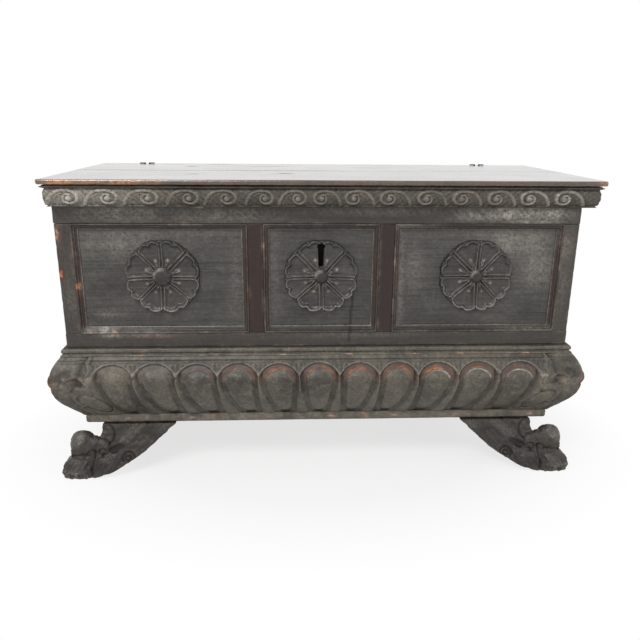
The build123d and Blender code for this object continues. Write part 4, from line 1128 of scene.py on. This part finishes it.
def front_frame():
    """The rails, stiles and muntins of the front."""
    made = node_board("front_top_rail", wood("case", "x"), (4, 10, 4), rounding=2.0, seed=1,
                      wear_scale=1.6,
                      easing=((1, -1, 2, 1, 4.0), (0, 1, 2, 1, 11.0), (0, -1, 2, 1, 6.0)))
    scuffs(made.data, placed(TOP_RAIL_MARKS, RAIL_HIGH[2]))
    made = node_board("front_bottom_rail", wood("case", "x"), (3.6, 10, 4), seed=2)
    scuffs(made.data, placed(BOTTOM_RAIL_MARKS, box("front_bottom_rail")[1][2]))
    opening_low, opening_high = box("panel_moulding_centre")
    for node, kind, seed, red, wear in (
            ("front_stile_left", "case", 3, 0.0, 2.4), ("front_stile_right", "case", 4, 0.0, 2.4),
            ("front_muntin_left", "muntin", 5, 0.10, 1.0),
            ("front_muntin_right", "muntin", 6, 0.02, 1.0)):
        low, high = box(node)
        low[2], high[2] = opening_low[2], opening_high[2]
        made = board(node + "_worn", low, high, wood(kind, "z"), [node], (4, 10, 4), rounding=1.4,
                     seed=seed, wear_scale=wear, red=red)
        scuffs(made.data, placed(UPRIGHT_MARKS[node], opening_high[2]))


def front_panel(word, seed, cells):
    """One panel of the front in its moulding; the centre one with its keyhole."""
    node = "front_panel_" + word
    low, high = box("panel_moulding_" + word)
    bottom = low[2]
    face, rail_back = box(node)[0][1], box("front_top_rail")[1][1]
    low = np.array([low[0] + CLEARANCE, face, low[2] + CLEARANCE])
    high = np.array([high[0] - CLEARANCE, rail_back, high[2] - CLEARANCE])
    made = board(node + "_planed", low, high, wood("panel", "x"), [node], cells, rounding=0.5,
                 seed=seed)
    wide, _, tall = high - low
    scuffs(made.data, placed(PANEL_MARKS[word], low[2], low[0], wide, tall))
    if word == "centre":
        cut_keyhole(made)
    made = panel_moulding("panel_moulding_" + word, face, 1, 0, seed)
    scuffs(made.data, placed(MOULDING_MARKS[word], bottom))


def side_frame(side, word):
    """The rails, stiles, panel and moulding of one side."""
    node_board("side_top_rail_" + word, wood("case", "y"), (10, 5, 7), rounding=2.0, seed=11 + side,
               easing=((0, side, 2, 1, 11.0 if side > 0 else 6.0),))
    node_board("side_bottom_rail_" + word, wood("case", "y"), (10, 6, 7), seed=14 + side)
    low, high = box("side_stiles_" + word)
    opening_low, opening_high = box("side_moulding_" + word)
    for end, bottom, top, nodes, seed in (
            ("front_", low, (high[0], opening_low[1], high[2]), ["side_stiles_" + word], 17),
            ("back_", (low[0], opening_high[1], low[2]), high, (), 20)):
        board("side_stile_" + end + word, bottom, top, wood("case", "z"), nodes, (0, 8, 5),
              seed=seed + side)
    node = "side_panel_" + word
    low, high = box(node)
    board(node + "_planed", (low[0], opening_low[1] + CLEARANCE, opening_low[2] + CLEARANCE),
          (high[0], opening_high[1] - CLEARANCE, opening_high[2] - CLEARANCE),
          wood("panel", "y"), [node], (0, 8, 8), rounding=0.5, seed=23 + side)
    panel_moulding("side_moulding_" + word, high[0] if side > 0 else low[0], 0, 1, 26)


class CASSONE_OT_frames(bpy.types.Operator):
    """Builds the rails, stiles, muntins and panels of the front and the sides"""

    bl_idname = "cassone.frames"
    bl_label = "Frames and panels"

    def execute(self, context):
        front_frame()
        # The centre panel is cut up finer across, for its thin stain.
        for word, seed, across in (("left", 7, 6), ("centre", 8, 3), ("right", 9, 6)):
            front_panel(word, seed, (across, 0, 6))
        for side, word in SIDES:
            side_frame(side, word)
        for node, grain in (("back_boards", "x"), ("bottom_boards", "x"), ("base_board_front", "x"),
                            ("base_board_left", "y"), ("base_board_right", "y")):
            give_material(node, wood("plain", grain))
        return {"FINISHED"}


# --- Rosettes ------------------------------------------------------------------------------------

# The disc that a rosette is carved from is drawn in rings and spokes; its hole is filled.
DISC_HOLE, DISC_REACH, DISC_RINGS, DISC_SPOKES = 0.3, 80.0, 62, 288


def rosette(word, boss, seed):
    """One carved rosette: eight fan-shaped petals with rolled edges, pairs of ridges between
    them, a small leaf at the root of each, and a domed boss. Boss is the radius of the dome."""
    low, high = box("rosette_" + word)
    middle = (low + high) / 2
    face = high[1]
    full = carving().rosette_relief / MM
    radius = (high[0] - low[0]) / 2 * 1.05
    bm = bmesh.new()
    line = [bm.verts.new((DISC_HOLE + (DISC_REACH - DISC_HOLE) * number / DISC_RINGS, 0, 0))
            for number in range(DISC_RINGS + 1)]
    for first, second in zip(line, line[1:]):
        bm.edges.new((first, second))
    bmesh.ops.spin(bm, geom=bm.verts[:] + bm.edges[:], cent=(0, 0, 0), axis=(0, 0, 1),
                   angle=2 * math.pi, steps=DISC_SPOKES, use_merge=True)
    inner_rim = [edge for edge in bm.edges if edge.is_boundary and edge.verts[0].co.length < 1]
    bmesh.ops.edgeloop_fill(bm, edges=inner_rim)
    spots = np.array([vertex.co for vertex in bm.verts])
    angle = np.arctan2(spots[:, 1], spots[:, 0])
    share = np.clip(np.hypot(spots[:, 0], spots[:, 1]) / (DISC_REACH + DISC_HOLE), 0, 1)
    petal = math.pi / 4
    turned = (angle + 0.05 * np.sin(angle * 3 + seed)) / petal
    number = np.floor(turned)
    aside = (turned - number) * 2 - 1
    unlike = np.sin(number * 2.7 + seed)
    dome = boss / radius
    edge = 0.985 + 0.014 * np.cos(aside * math.pi) - 0.006 * np.cos(aside * 3 * math.pi + unlike)
    distance = share * edge * radius
    x, z = distance * np.cos(angle), distance * np.sin(angle)
    from_line = (1 - np.abs(aside)) * distance * petal / 2
    # Each petal is a scoop inside a raised, waving edge.
    heart = 0.955 - 0.055 * bell(aside - 0.08 * unlike, 0.16)
    heart = heart - 0.10 * np.clip((np.abs(aside) - 0.50) / 0.5, 0, 1) ** 2
    hollow = np.cos(aside * math.pi / 2) ** 0.6 * smooth_step(share, 0.24, 0.5)
    hollow = hollow * smooth_step(heart - share, 0.0, 0.10)
    height = full * (0.58 + 0.04 * share - (0.41 + 0.05 * unlike) * hollow)
    roll = bell(share - heart - 0.006, 0.020)
    height = height + full * roll * 0.14 - full * 0.34 * smooth_step(share - heart, 0.02, 0.05)
    twin = bell(from_line - 3.4, 1.2)
    gully = bell(from_line, 1.7) + 0.45 * bell(from_line - 6.6, 1.6)
    reach_line = smooth_step(share, dome * 1.1, dome * 1.1 + 0.05)
    reach_line = reach_line * smooth_step(0.95 - share, 0, 0.05)
    height = height + full * (0.20 * twin - 0.22 * gully) * reach_line
    slim = 0.62 * np.clip(1 - share / 0.52, 0.02, 1) ** 0.6 + 0.02
    leaf = smooth_step(1 - np.abs(aside) / slim, 0.0, 0.3) * (share < 0.52)
    height = height + full * leaf * (0.10 - 0.08 * ridge(aside, 0.1))
    tip = bell(share - 0.46, 0.035) * bell(aside, 0.2)
    height = height + full * 0.17 * tip
    groove = bell(share - dome * 1.13, 0.02)
    height = height - groove * full * 0.14
    on_boss = smooth_step(dome * 1.06 - share, 0, 0.03)
    cap = full * (0.62 + 0.38 * np.sqrt(np.clip(1 - (share / (dome * 1.08)) ** 2.6, 0, 1)))
    height = height * (1 - on_boss) + cap * on_boss
    height = height + 0.35 * ripple(x / 9, z / 9, angle, seed)
    height = height + 0.18 * ripple(x / 2.7, z / 2.9, angle, seed + 1)
    # The rim never sinks to the panel, so that no hollow opens into its back.
    height = np.clip(height, 0.8, full) * smooth_step(1.0 - share, 0, 0.01)
    spots = np.stack([middle[0] + x, face - height, middle[2] + z], axis=1)
    for vertex, spot in zip(bm.verts, spots):
        vertex.co = spot
    bmesh.ops.edgeloop_fill(bm, edges=[edge for edge in bm.edges if edge.is_boundary])
    bmesh.ops.recalc_face_normals(bm, faces=bm.faces)
    mesh = to_mesh(bm, "rosette_" + word + "_carved")
    # Painted light: the rolled rims of the petals take a worn colour and a painted highlight that
    # grow towards the lower side, the tips and twin ridges a painted highlight, and the boss a
    # painted highlight arc on its upper left; the boss is otherwise dark, and the gullies, the
    # groove round the boss, the hollows of the petals and the ring outside them, most at the top,
    # take a painted shade.
    below = 0.5 - 0.5 * np.sin(angle)
    worn = (0.35 + 0.6 * below) * roll + 0.75 * twin * reach_line + 0.7 * tip + 0.15 * leaf
    worn = worn * np.clip(0.55 + 0.9 * ripple(x / 12, z / 11, angle, seed + 2), 0.1, 1.2)
    boss_highlight = bell(share - dome, 0.035)
    boss_highlight = boss_highlight * smooth_step(np.cos(angle - 0.75 * math.pi), 0.3, 0.9)
    cut = 0.5 * gully * reach_line + 0.6 * groove + 0.85 * on_boss * (1 - boss_highlight) + 0.26 * hollow
    cut = cut + 0.5 * smooth_step(share - heart, 0.02, 0.05) * (1.2 - below)
    pale = 0.45 * tip + 0.34 * roll * below ** 2 + 0.15 * twin * reach_line + 0.4 * boss_highlight
    mark(mesh, worn=worn, cut=cut, pale=pale)
    return piece(mesh.name, mesh, wood("panel", "x"), "chest", ["rosette_" + word])


class CASSONE_OT_rosettes(bpy.types.Operator):
    """Carves the three rosettes and cuts the keyhole through the middle one"""

    bl_idname = "cassone.rosettes"
    bl_label = "Rosettes"

    def execute(self, context):
        rosette("left", 19.0, 1.0)
        cut_keyhole(rosette("centre", 14.0, 2.0))
        rosette("right", 13.5, 3.0)
        return {"FINISHED"}


# --- Feet ----------------------------------------------------------------------------------------

# Seen from the front: distance from the middle of the chest, height.
FOOT_UNDER = ((344, 130), (380, 95), (418, 58), (452, 39), (466, 31), (492, 17), (522, 7),
              (556, 0))
FOOT_NECK = ((560, 2), (548, 30), (536, 62), (527, 93), (521, 113), (520, 130))
PAW_FACE = ((520, 6), (556, 0), (598, 0), (611, 5), (616, 20), (612, 36), (600, 48), (592, 54),
            (594, 66), (593, 84), (584, 100), (570, 111), (554, 113), (540, 106), (524, 96),
            (516, 60))
# Balls joined into the paw: distance from the middle, back from the face, up, and three radii.
TOES = ((582, -6, 26, 34, 22, 27), (566, 8, 83, 31, 25, 34), (572, 3, 54, 24, 18, 24),
        (513, -5, 36, 27, 21, 25), (518, 5, 72, 23, 19, 27), (538, 4, 84, 20, 18, 20),
        (493, 1, 48, 22, 17, 20), (463, 3, 49, 13, 15, 13))


def prism(bm, outline, y_low, y_high):
    """An outline in the upright plane, drawn from one depth to another."""
    ring = [bm.verts.new((x, y_low, z)) for x, z in outline]
    edges = [bm.edges.new((ring[i], ring[(i + 1) % len(ring)])) for i in range(len(ring))]
    face = bmesh.ops.edgeloop_fill(bm, edges=edges)["faces"]
    solid = bmesh.ops.extrude_face_region(bm, geom=face)["geom"]
    bmesh.ops.translate(bm, vec=(0, y_high - y_low, 0), verts=corners_of(solid))


def ball(bm, centre, radii):
    made = bmesh.ops.create_uvsphere(bm, u_segments=24, v_segments=16, radius=1.0)["verts"]
    bmesh.ops.scale(bm, vec=radii, verts=made)
    bmesh.ops.translate(bm, vec=centre, verts=made)


def evaluated(mesh, kind, **settings):
    """A mesh run through one modifier."""
    carrier = link_object(mesh.name + "_" + kind.lower(), mesh)
    modifier = carrier.modifiers.new(kind, kind)
    for key, value in settings.items():
        setattr(modifier, key, value)
    graph = bpy.context.evaluated_depsgraph_get()
    result = bpy.data.meshes.new_from_object(carrier.evaluated_get(graph))
    bpy.data.objects.remove(carrier)
    return result


# How deep the block of a paw is, and the rake of a front paw, for which the balls' depths hold.
PAW_THICK, FULL_RAKE = 30.0, 24.0


def foot(word, side, y_face, y_behind, rake):
    """A lion's paw turned outwards, running into a curved bracket. The face leans forward by
    rake from its top to its toes."""
    bm = bmesh.new()
    prism(bm, FOOT_UNDER + FOOT_NECK, y_face, y_behind)
    prism(bm, PAW_FACE, y_face, min(y_behind, y_face + PAW_THICK))
    bmesh.ops.subdivide_edges(bm, edges=bm.edges[:], cuts=3)
    for vertex in bm.verts:
        if vertex.co.y < y_face + 1:
            lean = (1 - smooth_step(vertex.co.z, 20, 128)) * smooth_step(vertex.co.x, 400, 500)
            vertex.co.y = y_face + rake * (0.55 - 1.35 * lean)
        elif vertex.co.x > 525 and vertex.co.z > 62:
            vertex.co.z = 62 + (vertex.co.z - 62) * 0.55
            vertex.co.x = 560 + (vertex.co.x - 560) * 0.8
    bmesh.ops.recalc_face_normals(bm, faces=bm.faces)
    for out, back, up, *radii in TOES:
        ball(bm, (out, y_face + back * rake / FULL_RAKE + 2, up), radii)
    mesh = evaluated(to_mesh(bm, "paw_" + word), "REMESH", mode="VOXEL", voxel_size=1.7)
    mesh = evaluated(mesh, "SMOOTH", factor=0.5, iterations=9)
    spots = coordinates(mesh)
    normals = read_all(mesh.vertices, "normal", 3)
    u, y, z = spots.T
    face = smooth_step(-normals[:, 1], 0.05, 0.5)
    # The cut between the toes, the folds over the knuckles and the little scroll at the heel.
    split = 541 + 4 * np.sin(z / 14)
    crease = bell(u - split, 2.6) * smooth_step(z, 3, 14) * smooth_step(78 - z, 0, 16)
    bend = bell(z - 56 - 4 * np.sin((u - 545) / 17), 2.6) * smooth_step(u, 545, 556) * 0.6
    curl = np.hypot(u - 518, z - 66)
    curl_groove = bell(curl - 8.5 - 1.2 * np.arctan2(z - 66, u - 518), 1.7) * (u > 508)
    hollow = bell(np.hypot((u - 484) / 17, (z - 74 + 0.25 * (u - 484)) / 8), 1, 4)
    scroll = np.hypot(u - 459, z - 49)
    scroll_groove = bell(scroll - 7.5, 1.6) + bell(scroll - 14, 2.0) * (z > 40)
    fold = bell(np.hypot(u - 520, z - 104) - 28, 2.4) * (u < 508) * (z > 84)
    claws = bell(np.abs(((u - 549) % 22) - 11) - 7.5, 1.7) * (z < 18) * (u > 546)
    claws = claws * smooth_step(18 - z, 0, 8)
    furrow = 0.5 + 0.5 * np.sin((u + 0.8 * z + 5 * ripple(u / 15, z / 13, 0, 6)) / 2.3)
    furrow = furrow * smooth_step(u, 470, 480)
    furrow = furrow * smooth_step(46 - z - 8 * ripple(u / 12, 0, 0, 4), 0, 10)
    hair = 0.5 + 0.5 * np.sin((u - 0.55 * z) / 2.6 + 1.2 * ripple(u / 21, z / 17, 0, 3))
    hair = hair * smooth_step(z, 92, 106) * (u > 520)
    # The grooves: how deep they are cut, and, through the cut mark, a painted shade in them.
    cut = crease + bend + 0.7 * curl_groove + hollow
    cut = np.clip(cut + 0.8 * scroll_groove + 0.7 * fold + 0.6 * claws, 0, 1) * face
    depth = 5.0 * cut + (0.9 * hair + 1.5 * furrow) * face
    grain = 0.9 * ripple(u / 6.5, z / 6, y / 7, 2) + 0.6 * ripple(u / 2.9, z / 2.7, y / 3.1, 5)
    spots = spots - normals * (depth + np.clip(0.5 + grain, 0, 1.6) * 1.7)[:, None]
    spots[:, 0] *= side
    low, high = box("foot_" + word)
    place_vertices(mesh, np.clip(spots, low + 0.01, high - 0.01))
    knuckle = bell(np.hypot((u - 566) / 26, (z - 90) / 24), 1, 4)
    knuckle = knuckle + bell(np.hypot((u - 584) / 28, (z - 30) / 20), 1, 4)
    speck = smooth_step(ripple(u / 4.1, z / 3.7, y / 4.3, 14), 0.35, 0.8)
    speck = speck * smooth_step(112 - z, 0, 25)
    hoary = smooth_step(ripple(u / 23, z / 19, y / 21, 15), -0.1, 0.6) * face
    # The knuckles are worn lighter; the front of the paw is patchily dark and light grey, with
    # small light grey specks that are partly painted glints.
    mark(mesh, worn=0.45 * knuckle * (1 - cut) * (0.5 + 0.5 * ripple(u / 12, z / 12, y / 12, 8)),
         cut=np.clip(cut * 1.1 + 0.35 * furrow + 0.25 * (1 - hoary) * face, 0, 1),
         pale=(0.30 * speck * hoary + 0.10 * hoary) * (1 - cut))
    if side < 0:
        mesh.flip_normals()
    return piece("paw_" + word, mesh, wood("foot", "x"), "chest", ["foot_" + word])


class CASSONE_OT_feet(bpy.types.Operator):
    """Carves the four lion's paw feet"""

    bl_idname = "cassone.feet"
    bl_label = "Feet"

    def execute(self, context):
        for side, word in SIDES:
            foot("front_" + word, side, FRONT, box("foot_front_" + word)[1][1], FULL_RAKE)
            foot("back_" + word, side, box("foot_back_" + word)[0][1] + 1.0, BACK, 1.0)
        return {"FINISHED"}


# --- Iron ----------------------------------------------------------------------------------------

class CASSONE_OT_iron(bpy.types.Operator):
    """Gives the hinges, the lock and the nails their forged iron"""

    bl_idname = "cassone.iron"
    bl_label = "Hinges and lock"

    def execute(self, context):
        for node in ("hinge_eyes", "hinge_staples", "lock_plate", "lock_cover", "lock_bolt",
                     "lid_hasp", "lock_nails", "hasp_nails"):
            give_material(node, forged_iron())
        return {"FINISHED"}


# --- Stage ---------------------------------------------------------------------------------------

# Where the eye stands, in metres, how it is turned, in degrees, and its lens, in millimetres.
EYE = (-0.0708, -1.6237, 0.8275)
EYE_YAW, EYE_PITCH, EYE_ROLL = 2.81, 17.22, 0.50
LENS = 36.32
# The lamps: name, place, target, width and height, watts.
LAMPS = (("key", (-1.0, -2.1, 2.6), (0.0, 0.0, 0.4), (1.3, 0.9), 62.0),
         ("fill", (2.2, -1.6, 1.2), (0.0, 0.0, 0.3), (1.2, 1.2), 12.0))
WHITE = (1, 1, 1, 1)


def place_camera():
    yaw, pitch, roll = (math.radians(turn) for turn in (EYE_YAW, EYE_PITCH, EYE_ROLL))
    level = Vector((math.cos(yaw), -math.sin(yaw), 0.0))
    ahead = Vector((math.sin(yaw), math.cos(yaw), 0.0))
    forward = math.cos(pitch) * ahead - Vector((0.0, 0.0, math.sin(pitch)))
    upward = level.cross(forward)
    right = math.cos(roll) * level + math.sin(roll) * upward
    top = math.cos(roll) * upward - math.sin(roll) * level
    turned = Matrix((right, top, -forward)).transposed().to_4x4()
    data = bpy.data.cameras.new("eye")
    data.lens = LENS
    data.sensor_width = 36.0
    camera = link_object("eye", data)
    camera.matrix_world = Matrix.Translation(EYE) @ turned
    bpy.context.scene.camera = camera


def area_lamp(name, place, target, size, power):
    data = bpy.data.lights.new(name, "AREA")
    data.shape = "RECTANGLE"
    data.size, data.size_y = size
    data.energy = power
    lamp = link_object(name, data)
    turned = (Vector(target) - Vector(place)).to_track_quat("-Z", "Y").to_matrix().to_4x4()
    lamp.matrix_world = Matrix.Translation(place) @ turned


def seen_directly(tree):
    """1 for what the eye sees straight on, in a reflection or through glass, and 0 for light."""
    ray = add_node(tree, "LightPath").node.outputs
    seen = ray["Is Camera Ray"]
    for kind in ("Is Glossy Ray", "Is Transmission Ray"):
        seen = add_node(tree, "Math", {0: seen, 1: ray[kind]}, operation="MAXIMUM")
    return seen


def studio_world():
    """A white surround to the eye and in reflections, and a softer grey as light."""
    world = bpy.data.worlds.new("studio")
    bpy.context.scene.world = world
    world.use_nodes = True
    tree = world.node_tree
    tree.nodes.clear()
    plain = add_node(tree, "Background", {"Color": WHITE, "Strength": 1.0})
    light = add_node(tree, "Background", {"Color": WHITE, "Strength": 0.5})
    mix = add_node(tree, "MixShader", {0: seen_directly(tree), 1: light, 2: plain})
    tree.links.new(mix, tree.nodes.new("ShaderNodeOutputWorld").inputs["Surface"])


def floor_material():
    """Pale floor, white to the eye and in reflections, that keeps the shadow of the chest."""
    material, tree, shader = new_material("pale_floor")
    for socket, value in (("Base Color", rgba(finish().floor)), ("Roughness", 0.9),
                          ("Specular IOR Level", 0.1)):
        shader.inputs[socket].default_value = value
    white = add_node(tree, "Emission", {"Color": WHITE, "Strength": 1.0})
    # Close to the chest the plain floor shows, with its shadow; further off it goes to white.
    place = add_node(tree, "TexCoord", out="Object")
    high = CAD_BOX[1]
    stretched = add_node(tree, "Mapping", {
        "Vector": place, "Scale": (1 / (high[0] + 0.25), 1 / (high[1] + 0.35), 0)})
    away = add_node(tree, "VectorMath", {0: stretched}, "Value", operation="LENGTH")
    near = add_node(tree, "ValToRGB", {"Fac": away}, stops=((0.55, 0.72), (1.0, 1.0)))
    share = add_node(tree, "Math", {0: seen_directly(tree), 1: near}, operation="MULTIPLY")
    mix = add_node(tree, "MixShader", {0: share, 1: shader.outputs[0], 2: white})
    tree.links.new(mix, tree.nodes["Material Output"].inputs["Surface"])
    return material


class CASSONE_OT_stage(bpy.types.Operator):
    """Sets the floor, the surround, the lamps and the camera"""

    bl_idname = "cassone.stage"
    bl_label = "Stage"

    def execute(self, context):
        bm = bmesh.new()
        bmesh.ops.create_grid(bm, x_segments=1, y_segments=1, size=6.0)
        mesh = to_mesh(bm, "floor")
        mesh.materials.append(floor_material())
        link_object("floor", mesh)
        studio_world()
        for lamp in LAMPS:
            area_lamp(*lamp)
        place_camera()
        context.scene.view_settings.view_transform = "Standard"
        return {"FINISHED"}


# --- Panel and registration ----------------------------------------------------------------------

OPERATORS = (CASSONE_OT_frames, CASSONE_OT_rosettes, CASSONE_OT_base, CASSONE_OT_feet,
             CASSONE_OT_lid, CASSONE_OT_iron, CASSONE_OT_stage)


class CASSONE_PT_panel(bpy.types.Panel):
    """Lists the pieces of the chest and their settings"""

    bl_idname = "CASSONE_PT_panel"
    bl_label = "Cassone"
    bl_space_type = "VIEW_3D"
    bl_region_type = "UI"
    bl_category = "Cassone"

    def draw(self, context):
        for title, group, kind in (("Carving", context.scene.cassone_carving, CassoneCarving),
                                   ("Finish", context.scene.cassone_finish, CassoneFinish)):
            column = self.layout.column()
            column.label(text=title)
            for key in kind.__annotations__:
                column.prop(group, key)
        for operator in OPERATORS:
            self.layout.operator(operator.bl_idname)


CLASSES = (CassoneCarving, CassoneFinish) + OPERATORS + (CASSONE_PT_panel,)


def register():
    for kind in CLASSES:
        bpy.utils.register_class(kind)
    bpy.types.Scene.cassone_carving = bpy.props.PointerProperty(type=CassoneCarving)
    bpy.types.Scene.cassone_finish = bpy.props.PointerProperty(type=CassoneFinish)


def unregister():
    del bpy.types.Scene.cassone_finish
    del bpy.types.Scene.cassone_carving
    for kind in reversed(CLASSES):
        bpy.utils.unregister_class(kind)


def main():
    register()
    bpy.ops.cassone.frames()
    bpy.ops.cassone.rosettes()
    bpy.ops.cassone.base()
    bpy.ops.cassone.feet()
    bpy.ops.cassone.lid()
    bpy.ops.cassone.iron()
    bpy.ops.cassone.stage()
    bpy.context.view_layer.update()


if __name__ == "__main__":
    main()
